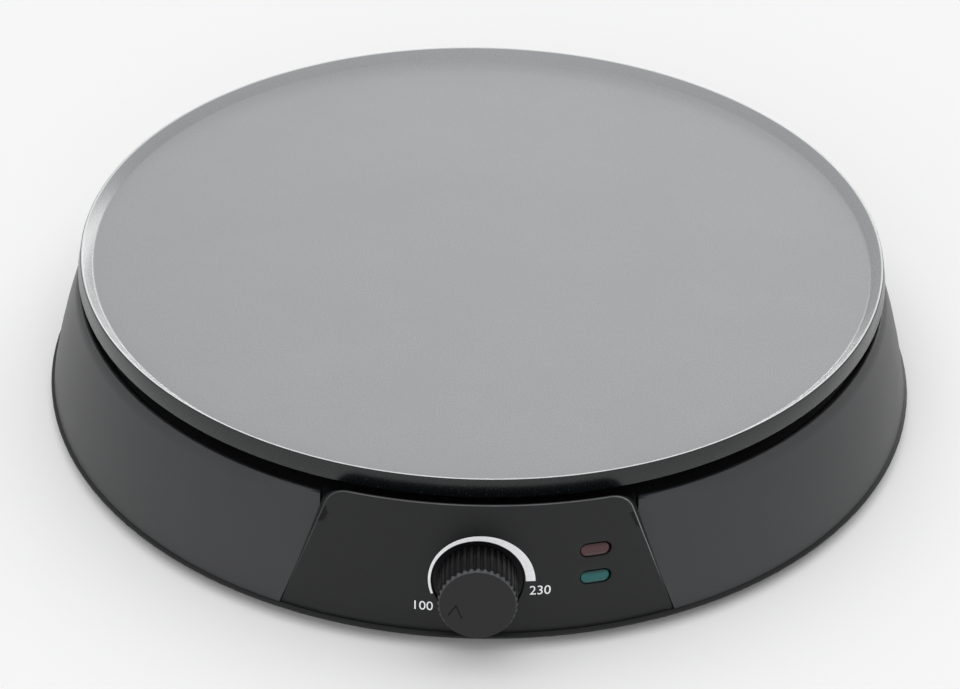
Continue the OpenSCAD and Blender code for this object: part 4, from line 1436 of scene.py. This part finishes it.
@dataclass(frozen=True)
class ControlPanel:
    """The panel that stands proud of the housing: an open-backed moulded cap.

    Attributes:
        face: the cone of its front.
        low: height of its foot above the flange.
        top: height of its top.
        foot_half: half width at the foot.
        top_half: half width at the top, between the straight sides.
        corner: radius of the top corners.
        wall: wall thickness.
        seat: height of the cover that the flanks stand on.
        seat_radius: radius within which that cover reaches.
        bevel: how far the top lies lower behind its front edge.
        edge: radius of the front's rounded edge.
        back_high: radius of the back edge above the housing's rim.
        back_low: radius of the back edge below it.
        rim: height of the housing's rim.
        highlight_start: height at which the painted highlight on the edge starts.
        highlight_growth: height over which it grows to its full share.
        highlight_ends: how far in from the left and the right its share levels out.
        highlight_levels: its share at the left, along the top and at the right.
        knob_z: height of the knob's axis.
        well: radius of the well around the knob.
        well_depth: depth of the well.
        well_edge: radius of the well's rounded edge.
        well_foot: radius of the rounded corner between its wall and its floor.
        well_wall: thickness of its wall and its floor.
        well_steps: points around it.
        hole: radius of the spindle's hole.
        window: width and height of a lamp's window.
        window_edge: width of the chamfer around a window.
        lamp_azimuth: angle of the lamps from the panel's middle.
        lamp_heights: heights of the lamps.
        pillar: profile of a lamp holder's pillar: radii and distances outwards.
        pillar_gap: distance of the pillars from the lamps' middle.
        ear_azimuth: angle of the screw ears from the panel's middle.
        ear_across: where an ear starts and ends sideways of that angle.
        ear_radii: distances of its two faces from the plate's axis.
        ear_heights: heights of its foot and its top, from the floor.
        steps: points along a corner, a side up to the rim, the foot and the top.
        slack: half height of the step at the rim, where the back edge changes.
        foot_end: how far in from the foot's ends the flanks reach.
        flank_gap: least distance of the flanks' rings behind the rounded edge.
        mesh_step: spacing of the points inside the front's faces.
        plastic: its finish.
    """

    face: PanelFace = PanelFace()
    low: float = 1.4
    top: float = 50.5
    foot_half: float = 67.15
    top_half: float = 48.9
    corner: float = 8.5
    wall: float = 2.2
    seat: float = 2.05
    seat_radius: float = 162.6
    bevel: float = 1.6
    edge: float = 0.5
    back_high: float = 157.0
    back_low: float = 150.0
    rim: float = 43.3
    highlight_start: float = 12.0
    highlight_growth: float = 16.0
    highlight_ends: tuple[float, float] = (8.0, 6.0)
    highlight_levels: tuple[float, float, float] = (0.12, 0.3, 0.75)
    knob_z: float = 21.6
    well: float = 15.3
    well_depth: float = 2.0
    well_edge: float = 0.4
    well_foot: float = 0.35
    well_wall: float = 2.0
    well_steps: int = 96
    hole: float = 4.5
    window: tuple[float, float] = (10.9, 5.4)
    window_edge: float = 0.2
    lamp_azimuth: float = 13.92
    lamp_heights: tuple[float, float] = (31.25, 20.8)
    pillar: tuple[tuple[float, float], ...] = (
        (0, -1.6), (2.2, -1.6), (2.2, -11), (1.05, -11), (1.05, -6), (0, -6)
    )
    pillar_gap: float = 8.5
    ear_azimuth: float = 26.99
    ear_across: tuple[float, float] = (-13.0, 5.0)
    ear_radii: tuple[float, float] = (149.0, 151.5)
    ear_heights: tuple[float, float] = (14.0, 26.0)
    steps: tuple[int, int, int, int] = (13, 18, 61, 49)
    slack: float = 0.01
    foot_end: float = 1.0
    flank_gap: float = 0.1
    mesh_step: float = 2.4
    plastic: MouldedBlack = PanelPlastic("panel_black", rgb(15, 16, 18), 0.46, 0.36)

    def outline(self, inset: float) -> np.ndarray:
        """The panel's outline from the front, as x and z.

        A trapezoid whose top corners are arcs tangent to the top and the slanting
        sides. Every inset gives the same number of points in the same order. The foot
        is drawn in by a third of the inset only. Two points just below and above the
        housing's rim let the back edge change its cylinder there.

        Args:
            inset: distance by which the outline is drawn in.

        Returns:
            The loop, anticlockwise from the foot's left end, of shape (n, 2).
        """
        at_corner, at_side, at_foot, at_top = self.steps
        lean = math.atan((self.foot_half - self.top_half) / (self.top - self.low))
        shift = inset / math.cos(lean)
        r = self.corner - inset
        cz = self.top - inset - r

        def half(z: np.ndarray | float) -> np.ndarray | float:
            """Half width of the drawn-in trapezoid at a height."""
            share = (z - self.low) / (self.top - self.low)
            return self.foot_half + share * (self.top_half - self.foot_half) - shift

        cx = half(cz) - r / math.cos(lean)
        low = self.low + inset / 3
        turn = np.linspace(lean, math.pi / 2, at_corner)
        arc = np.column_stack([cx + r * np.cos(turn), cz + r * np.sin(turn)])
        z = np.append(np.linspace(low, self.rim - self.slack, at_side), self.rim + self.slack)
        right = np.concatenate([np.column_stack([half(z), z]), arc])
        left = right[::-1] * np.array([-1, 1])
        foot = np.linspace(-half(low), half(low), at_foot)[1:-1]
        across = np.linspace(cx, -cx, at_top)[1:-1]
        return np.concatenate([
            np.column_stack([foot, np.full(len(foot), low)]),
            right,
            np.column_stack([across, np.full(len(across), self.top - inset)]),
            left,
        ])

    def back(self, loop: np.ndarray, ahead: float) -> np.ndarray:
        """Points behind an outline, on upright cylinders.

        The back edge lies on one of two cylinders, by the height; along the foot it
        lies right behind the front wall. Where the flanks pass over the bottom cover,
        their lower edge is raised to the cover's top. The top is lowered by the bevel
        times the squared share of the way up its corners.

        Args:
            loop: the outline as x and z.
            ahead: 0 for the back edge; more for a ring that runs at least that far in
                front of the cover's edge. Up to a hair's breadth it is bevelled too.

        Returns:
            The points, measured from the floor.
        """
        hair = 0.001
        x, z = loop.T
        cone = self.face.radius(z)
        radius = np.where(z > self.rim, self.back_high, self.back_low)
        lowest = z < z.min() + TINY
        foot = lowest & (np.abs(x) < np.abs(x[lowest]).max() - self.foot_end)
        radius = np.where(foot, cone - self.wall, radius)
        if ahead > 0:
            front = cone - self.edge - self.flank_gap
            radius = np.clip(self.seat_radius + ahead, radius + ahead, front)
        lifted = np.where((radius <= self.seat_radius) & ~foot, np.maximum(z, self.seat), z)
        if ahead < hair and z.max() > self.top - self.slack:
            rise = np.clip((z - self.top + self.corner) / self.corner, 0, 1)
            lifted = lifted - np.where(z > z.max() - self.corner, self.bevel * rise**2, 0)
        return np.column_stack([x, -np.sqrt(radius**2 - x**2), lifted + self.face.feet])

    def edge_rings(self) -> list[np.ndarray]:
        """Rings along the front's rounded edge.

        The edge of radius e is drawn in by e(1 - sin t) and lies e(1 - cos t) behind
        the cone, for t from 0 to a right angle.

        Returns:
            The rings, from the front's outermost to the back's.
        """
        rings = []
        for a in np.linspace(0, math.pi / 2, 6):
            loop = self.outline(self.edge * (1 - math.sin(a)))
            rings.append(self.face.front(*loop.T, back=self.edge * (1 - math.cos(a))))
        return rings

    def painted_highlight(self) -> np.ndarray:
        """Points on the rounded edge with the share of painted highlight there.

        The painted highlight is strongest on the right flank's edge, less and less towards
        the foot; the top's and the left flank's edges get a little of it.

        Returns:
            Points and shares, of shape (n, 4).
        """
        # painted highlight: strongest on the right flank, where light from the right glints on the
        # edge
        rings = np.concatenate(self.edge_rings()[2:4])
        height = rings[:, 2] - self.face.feet
        side, (left, right) = self.top_half, self.highlight_ends
        at_left, along_top, at_right = self.highlight_levels
        share = np.clip((height - self.highlight_start) / self.highlight_growth, 0, 1)
        share *= np.interp(
            rings[:, 0],
            [-side, left - side, side - right, side],
            [at_left, along_top, along_top, at_right],
        )
        return np.column_stack([rings, share])

    def skin(self) -> list[Shell]:
        """The cap itself, as rings of points from the front's edge to the inner face.

        Returns:
            The cap's rings, its front and its inner face.
        """
        rings = self.edge_rings()
        inner = self.outline(self.wall)
        rings += [self.back(self.outline(0), ahead) for ahead in (0.05, TINY, 0)]
        rings += [self.back(inner, 0), self.face.front(*inner.T, inset=self.wall)]
        return [
            grid(np.stack(rings), wrap_columns=True),
            self.sheet(self.outline(self.edge), self.holes(0.0), 0.0),
            self.sheet(inner, self.holes(self.wall), self.wall),
        ]

    def sheet(self, outer: np.ndarray, holes: Sequence[np.ndarray], inset: float) -> Shell:
        """Fill an outline in x and z with triangles and bend it onto the cone."""
        flat, triangles = region(outer, holes, self.mesh_step)
        return Shell(self.face.front(flat[:, 0], flat[:, 1], inset=inset), [triangles])

    def holes(self, inset: float) -> list[np.ndarray]:
        """Loops in x and z where the well and the windows pass the outer or inner cone.

        Args:
            inset: 0 for the outer cone, the wall's thickness for the inner.

        Returns:
            The loops, the well's first.
        """
        front = inset == 0
        well = circle(self.well + (self.well_edge if front else self.well_wall), self.well_steps)
        window = stadium(*self.window, -self.window_edge if front else 0)
        places = [(0, self.knob_z, well)]
        places += [(self.lamp_azimuth, z, window) for z in self.lamp_heights]
        loops = [self.face.laid(*place, inset=inset) for place in places]
        return [loop[:, [0, 2]] - np.array([0, self.face.feet]) for loop in loops]

    def well_cup(self) -> Shell:
        """The well: a rounded edge, a wall, a floor with a hole, and its outside.

        Returns:
            The well's surface.
        """
        edge, place, steps = self.well_edge, (0.0, self.knob_z), self.well_steps
        floor, outer = -self.well_depth, self.well + self.well_wall
        rings = []
        for a in np.linspace(0, math.pi / 2, 5):
            flat = circle(self.well + edge * (1 - math.sin(a)), steps)
            rings.append(self.face.laid(*place, flat, -edge * (1 - math.cos(a))))
        for radius, out in (
            (self.well, self.well_foot + floor),
            (self.well - 0.1, 0.1 + floor),
            (self.well - self.well_foot, floor),
            (self.hole, floor),
            (self.hole, floor - self.well_wall),
            (outer, floor - self.well_wall),
        ):
            rings.append(self.face.local(*place, raised(circle(radius, steps), out)))
        rings.append(self.face.laid(*place, circle(outer, steps), inset=self.wall))
        return grid(np.stack(rings), wrap_columns=True)

    def window_wall(self, z: float) -> Shell:
        """The wall of one lamp's window, with a small chamfer at the front.

        Args:
            z: height of the lamp above the flange.

        Returns:
            The window's surface.
        """
        place, edge, middle = (self.lamp_azimuth, z), self.window_edge, 0.06
        rings = [
            self.face.laid(*place, stadium(*self.window, -edge)),
            self.face.laid(*place, stadium(*self.window, -middle), -middle),
            self.face.laid(*place, stadium(*self.window), -edge),
            self.face.laid(*place, stadium(*self.window), inset=self.wall),
        ]
        return grid(np.stack(rings), wrap_columns=True)

    def fixings(self) -> list[Shell]:
        """Pillars for the lamp holder and screw ears on the flanks.

        Returns:
            Their closed surfaces.
        """
        middle = (self.lamp_azimuth, sum(self.lamp_heights) / 2)
        pillar = revolve(np.array(self.pillar, float), 24)
        (inner, outer), (low, high) = self.ear_radii, self.ear_heights
        shells = []
        for side in (-1, 1):
            points = pillar.points + np.array([self.pillar_gap * side, 0, 0])
            shells.append(Shell(self.face.local(*middle, points), pillar.faces))
            start, end = sorted(side * x for x in self.ear_across)
            ear = block((start, -outer, low), (end, -inner, high))
            shells.append(ear.moved(turning(self.ear_azimuth * side)))
        return shells

    def build(self) -> None:
        """Make and dress the panel."""
        shells = [*self.skin(), self.well_cup(), *(self.window_wall(z) for z in self.lamp_heights)]
        piece = Piece("panel_finish", Body.BASE, "panel_black", ("control_panel",), sharp=40)
        # the panel's mesh carries the painted highlight's share along its front edge
        piece.build([*shells, *self.fixings()], self.plastic.material(), self.painted_highlight())


@dataclass(frozen=True)
class Dial:
    """The printed dial: an arc that widens towards its hot end, and two numbers.

    Attributes:
        panel: the panel that carries it.
        start: angle of the arc's cold end, in degrees from sideways.
        end: angle of its hot end.
        angles: angles at which the radii are given.
        inner: inner radius at those angles.
        outer: outer radius at those angles.
        steps: places along the arc.
        film: how far the ink stands out from the face.
        rooted: how far the arc's underside lies in the face.
        size: letter size of the numbers.
        relief: half thickness of the numbers.
        numbers: the numbers, each with the angle of its middle.
        distance: distance of the numbers' middles from the knob's axis.
        ink: its finish.
    """

    panel: ControlPanel
    start: float = 199.5
    end: float = 0.0
    angles: tuple[float, ...] = (0, 30, 60, 90, 130, 160, 199.5)
    inner: tuple[float, ...] = (15.95, 15.85, 15.75, 15.75, 15.75, 15.75, 15.75)
    outer: tuple[float, ...] = (19.2, 18.7, 18.1, 17.5, 17.0, 16.7, 16.5)
    steps: int = 120
    film: float = 0.04
    rooted: float = 0.03
    size: float = 4.9
    relief: float = 0.035
    numbers: tuple[tuple[str, float], ...] = (("100", 210.0), ("230", -10.5))
    distance: float = 21.2
    ink: PrintedInk = PrintedInk()

    def band(self) -> Shell:
        """The arc as a closed strip.

        At each angle, four corners: inner and outer radius, just under the face and a
        film above it. The two ends are closed.

        Returns:
            The closed surface.
        """
        n = self.steps
        a = np.linspace(self.end, self.start, n)
        inner, outer = (np.interp(a, self.angles, r) for r in (self.inner, self.outer))
        low, high, t = -self.rooted, self.film, np.radians(a)
        rows = []
        for radius, above in ((inner, low), (outer, low), (outer, high), (inner, high)):
            flat = np.column_stack([radius * np.cos(t), radius * np.sin(t)])
            rows.append(self.panel.face.laid(0, self.panel.knob_z, flat, above))
        shell = grid(np.stack(rows), wrap_rows=True)
        caps = np.array([[0, n, 2 * n, 3 * n], [n - 1, 2 * n - 1, 3 * n - 1, 4 * n - 1]])
        shell.faces.append(caps)
        return shell

    def number(self, text: str, angle: float) -> Shell:
        """A number printed on the face.

        The letters' flat outline is made a thin solid, moved to its place beside the
        arc, and each point is lifted onto the cone.

        Args:
            text: the digits.
            angle: direction of the number's middle from the knob's axis, in degrees.

        Returns:
            The number's surface.
        """
        curve = bpy.data.curves.new("digits", "FONT")
        curve.body = text
        curve.size = self.size
        curve.align_x, curve.align_y = "CENTER", "CENTER"
        curve.extrude = self.relief
        curve.resolution_u = 6
        item = add_object("digits", curve)
        bpy.context.view_layer.update()
        mesh = item.evaluated_get(bpy.context.evaluated_depsgraph_get()).to_mesh()
        points = read(mesh.vertices, "co")
        faces: dict[int, list[list[int]]] = {}
        for polygon in mesh.polygons:
            faces.setdefault(len(polygon.vertices), []).append(list(polygon.vertices))
        bpy.data.objects.remove(item)
        t = math.radians(angle)
        flat = points[:, :2] + self.distance * np.array([math.cos(t), math.sin(t)])
        laid = self.panel.face.laid(0, self.panel.knob_z, flat, points[:, 2])
        return Shell(laid, [np.array(rows) for rows in faces.values()])

    def build(self) -> None:
        """Print the dial on the panel."""
        shells = [self.band(), *(self.number(*number) for number in self.numbers)]
        Piece("dial_print", Body.BASE, "lamp_glass", sharp=30).build(shells, self.ink.material())


@dataclass(frozen=True)
class SignalLamps:
    """The two lenses in the panel: stadium-shaped, with a low crown and a flange.

    Attributes:
        panel: the panel that holds them.
        width: width of a lens.
        height: its height.
        drop: how far its middle lies below its window's middle.
        shift: angle between its middle and its window's middle, in degrees.
        crown: how far its middle stands out from its edge.
        sink: how far the crown's edge lies behind the panel's face.
        skirt: height of the upright part under the crown.
        flange: how far the flange behind the panel reaches outwards.
        flange_depths: distances of its two faces behind the panel's wall.
        red: tint of the upper lens, and the tint of the painted shadow at its top.
        green: tint of the lower lens, and the tint of the painted shadow at its top.
    """

    panel: ControlPanel
    width: float = 10.0
    height: float = 4.6
    drop: float = 0.35
    shift: float = -0.04
    crown: float = 0.5
    sink: float = 0.75
    skirt: float = 0.15
    flange: float = 1.1
    flange_depths: tuple[float, float] = (0.9, 1.9)
    red: tuple[Rgb, Rgb] = (rgb(72, 40, 43), rgb(46, 22, 24))
    green: tuple[Rgb, Rgb] = (rgb(6, 92, 90), rgb(4, 44, 44))

    def lens(self, z: float) -> Shell:
        """One lens.

        From the flange behind the panel, rings of stadium outlines run out to the
        face. The crown rises as the root of 1 less the squared share of the way from
        the middle line to the edge.

        Args:
            z: height above the flange.

        Returns:
            The closed surface.
        """
        face, half = self.panel.face, self.height / 2
        place = (self.panel.lamp_azimuth + self.shift, z - self.drop)
        near, far = (-self.panel.wall - depth for depth in self.flange_depths)
        rows = [
            face.local(*place, raised(stadium(self.width, self.height, inset), out))
            for inset, out in (
                (half - 0.001, far), (-self.flange, far), (-self.flange, near), (0.0, near)
            )
        ]
        crown = [(0.0, -self.sink - self.skirt)]
        for s in (0.985, 0.95, 0.88, 0.78, 0.65, 0.5, 0.33, 0.16, 0.0):
            crown.append((half * (1 - s), self.crown * math.sqrt(1 - s * s) - self.sink))
        rows += [
            face.laid(*place, stadium(self.width, self.height, inset), out)
            for inset, out in crown
        ]
        shell = grid(np.stack(rows), wrap_columns=True)
        shell.faces.append(np.arange(len(rows[0]))[None])
        return shell

    def build(self) -> None:
        """Make and dress both lenses."""
        tints = (("red", *self.red), ("green", *self.green))
        for z, (tint, colour, edge) in zip(self.panel.lamp_heights, tints):
            node, slot = f"{tint}_lens", f"lens_{tint}"
            middle = (z - self.drop + self.panel.face.feet) * MM
            piece = Piece(f"{node}_finish", Body.BASE, slot, (node,), sharp=50)
            piece.build([self.lens(z)], LensPlastic(slot, colour, edge, middle).material())


@dataclass(frozen=True)
class Knob:
    """The fluted cup knob, with its pointer drawn by a groove in its flat face.

    Attributes:
        panel: the panel that it stands in front of.
        radius: radius over the flutes.
        back: how far its back edge lies in front of the panel's face; negative inside.
        front: how far its face stands out.
        edge: width and depth of the slanting edge around the face.
        lip: width of the rounding between the face and that edge.
        flutes: number of flutes.
        depth: depth of a flute.
        land: half width of the land between two flutes, as a share of their pitch.
        samples: columns of points in each flute.
        wall: wall of the cup.
        face_wall: thickness of the face.
        boss: radius of the spindle's boss.
        bore: radius of its bore.
        flat: distance of the bore's flat from the axis.
        key: distances along the axis between which the bore has its flat.
        pointer: direction of the pointer in degrees.
        tip: distance of the pointer's tip from the axis.
        reach: length and half width of the pointer.
        stroke: width of the groove that draws the pointer.
        recess: depth of the groove.
        soft: distance from a corner of the groove at which its rounding starts.
        face_step: spacing of the points inside the face.
        floor_step: spacing of the points inside the groove's floor.
        rib: half thickness of a rib.
        rib_start: how far a rib starts in front of the knob's back edge.
        rib_end: distance along the axis at which it ends.
        rib_bite: how far it reaches into the boss and into the cup's wall.
    """

    panel: ControlPanel
    radius: float = 13.2
    back: float = -1.4
    front: float = 14.3
    edge: tuple[float, float] = (0.6, 1.3)
    lip: float = 0.12
    flutes: int = 36
    depth: float = 0.6
    land: float = 0.22
    samples: int = 16
    wall: float = 2.2
    face_wall: float = 2.8
    boss: float = 5.0
    bore: float = 3.05
    flat: float = 2.05
    key: tuple[float, float] = (0.86, 10.86)
    pointer: float = 202.0
    tip: float = 10.5
    reach: tuple[float, float] = (4.1, 2.8)
    stroke: float = 0.42
    recess: float = 0.4
    soft: float = 0.1
    face_step: float = 1.4
    floor_step: float = 0.7
    rib: float = 0.7
    rib_start: float = 3.0
    rib_end: float = 11.6
    rib_bite: tuple[float, float] = (0.5, 0.3)

    def cup(self) -> Shell:
        """The outside, the back and the inside of the cup, as rings of points.

        Over each pitch the side's radius is even on the land, and in the flute it dips
        by depth times a power of the root of 1 less the squared share of the way from
        the flute's middle to its edge. The slanting edge is a cone that the side meets
        higher where its radius is smaller. The bore's flat lies at an even height over
        the axis, so its radius there is that height over the sine of the angle.

        Returns:
            The surface, open only where the flat face goes.
        """
        n = self.flutes * self.samples
        a = np.linspace(0, 2 * math.pi, n, endpoint=False)
        across = np.abs((a * self.flutes / (2 * math.pi)) % 1 - 0.5) / (0.5 - self.land)
        side = self.radius - self.depth * np.sqrt(np.clip(1 - across**2, 0, 1)) ** 0.8
        width, deep = self.edge
        meet = self.front - deep * (1 - (self.radius - side) / width)
        edge, inner = self.radius - width, self.radius - self.wall
        start, end = self.key
        rise = np.maximum(np.sin(a), 0.1)
        keyed = np.minimum(self.bore, np.where(rise > 0.1, self.flat / rise, self.bore))
        rings = [
            # the face's rounded edge and the slanting edge down to the flutes
            (edge - self.lip, self.front),
            (edge - 0.02, self.front - 0.02),
            (edge + 0.015, self.front - 0.08),
            (np.maximum(side - 0.03, edge + 0.016), np.minimum(meet + 0.06, self.front - 0.085)),
            (side, np.minimum(meet, self.front - 0.09) - 0.06),
            # the fluted side and the back edge
            *((side, w) for w in np.linspace(11.0, self.back + 0.2, 5)),
            (side - 0.15, self.back),
            # the inside of the cup, the boss and its bore
            (inner, self.back),
            (inner, self.front - self.face_wall),
            (self.boss, self.front - self.face_wall),
            (self.boss, self.back),
            (self.bore, self.back),
            (self.bore, start),
            (keyed, start),
            (keyed, end),
            (0.0, end),
        ]
        rows = [raised(np.column_stack([r * np.cos(a), r * np.sin(a)]), w) for r, w in rings]
        return grid(np.stack(rows), wrap_columns=True)

    def top(self) -> list[Shell]:
        """The flat face with the pointer's groove, its wall and its floor.

        The groove is a stroke inside two sides of a triangle whose corners are the tip
        and two base corners. It bends at the upper base corner.

        Returns:
            The face, the groove's wall and its floor.
        """
        rim = circle(self.radius - self.edge[0] - self.lip, self.flutes * self.samples)
        length, half = self.reach
        corners = [[self.tip, 0, 0], [self.tip - length, half, 0], [self.tip - length, -half, 0]]
        first, last, bend = turning(self.pointer)(np.array(corners))[:, :2]
        one, two = (v / np.linalg.norm(v) for v in (first - bend, last - bend))
        across = (one + two) * self.stroke / abs(one[0] * two[1] - one[1] * two[0])
        inner = bend + across
        near, far = (
            corner + across - way * np.dot(across, way)
            for corner, way in ((first, one), (last, two))
        )
        groove = rounded(np.array([bend, first, near, inner, far, last]), self.soft)
        flat, triangles = region(rim, [groove], self.face_step)
        floor, floor_triangles = region(groove, [], self.floor_step)
        low = self.front - self.recess
        wall = [raised(groove, w) for w in (self.front, self.front - 0.02, low)]
        return [
            Shell(raised(flat, self.front), [triangles]),
            grid(np.stack(wall), wrap_columns=True),
            Shell(raised(floor, low), [floor_triangles]),
        ]

    def ribs(self) -> list[Shell]:
        """Four ribs between the boss and the cup's wall.

        Returns:
            Their closed surfaces.
        """
        start = self.boss - self.rib_bite[0]
        end = self.radius - self.wall + self.rib_bite[1]
        low, high = self.back + self.rib_start, self.rib_end
        rib = block((start, -self.rib, low), (end, self.rib, high))
        return [rib.moved(turning(45 + 90 * quarter)) for quarter in range(4)]

    def build(self) -> None:
        """Make and dress the knob."""
        face, z = self.panel.face, self.panel.knob_z
        shells = [self.cup(), *self.top(), *self.ribs()]
        placed = [shell.moved(lambda p: face.local(0, z, p)) for shell in shells]
        piece = Piece("knob_finish", Body.KNOB, "knob_black", ("knob",), sharp=28)
        _, (_, up, out) = face.axes(0, z)
        plastic = KnobPlastic(
            "knob_black",
            rgb(22, 22, 24),
            roughness=0.46,
            shine=0.36,
            centre=tuple(face.local(0, z, np.zeros(3)) * MM),
            up=tuple(up),
            out=tuple(out),
            radius=self.radius * MM,
            front=self.front * MM,
        )
        piece.build(placed, plastic.material())


@dataclass(frozen=True)
class InnerWorks:
    """The heater, shield, thermostat, lamps' insides, wiring and fasteners."""

    def build(self) -> None:
        """Give every other node the finish of its material slot.

        The bracket, which shows through the gap behind the panel, takes the shield's dark
        sheet; that dark finish is painted shade standing in for the shade in the gap.
        """
        finishes = (
            Metal("element_sheath", rgb(96, 92, 88), 0.5, rgb(60, 52, 48), metallic=0.85),
            Ceramic(),
            Metal("brass", rgb(214, 178, 96), 0.3, rgb(150, 112, 56)),
            # painted shade: a dark sheet for the parts seen through the gap behind the panel
            Metal("dark_sheet", rgb(44, 44, 46), 0.5, rgb(30, 28, 27), metallic=0.6),
            Metal("steel_sheet", rgb(190, 192, 194), 0.34, rgb(140, 142, 144), lines=12),
            Metal("zinc_screws", rgb(196, 200, 204), 0.30, rgb(150, 152, 150)),
            Metal("bimetal", rgb(150, 146, 140), 0.38, rgb(110, 96, 84), lines=10),
            Metal("contact_copper", rgb(206, 140, 104), 0.34, rgb(140, 84, 60), lines=8),
            Metal("contact_silver", rgb(226, 226, 222), 0.28, rgb(150, 148, 140)),
            PlainPlastic("lamp_glass", rgb(224, 222, 210), 0.12, 0.002),
            PlainPlastic("inner_plastic", rgb(214, 208, 190), 0.5),
            Sleeve(),
        )
        materials = {finish.name: finish.material() for finish in finishes}
        for part in frame["record"]["subparts"]:
            name, slot = part["node"], part["material_slot"]
            # painted shade: the bracket in the gap behind the panel goes dark like the shield
            slot = "dark_sheet" if name == "thermostat_bracket" else slot
            item = frame["nodes"][name]
            if item.hide_render:
                continue
            if not item.material_slots:
                item.data.materials.append(materials[slot])
            for holder in item.material_slots:
                holder.material = materials[slot]
            log.info("%s: %s", name, slot)


def main() -> None:
    """Build the pieces in order and report each."""
    logging.basicConfig(level=logging.INFO, format="%(name)s: %(message)s")
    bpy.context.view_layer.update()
    Studio().build()
    panel = ControlPanel()
    Hotplate().build()
    Base().build()
    panel.build()
    Dial(panel).build()
    SignalLamps(panel).build()
    Knob(panel).build()
    InnerWorks().build()


if __name__ == "__main__":
    main()
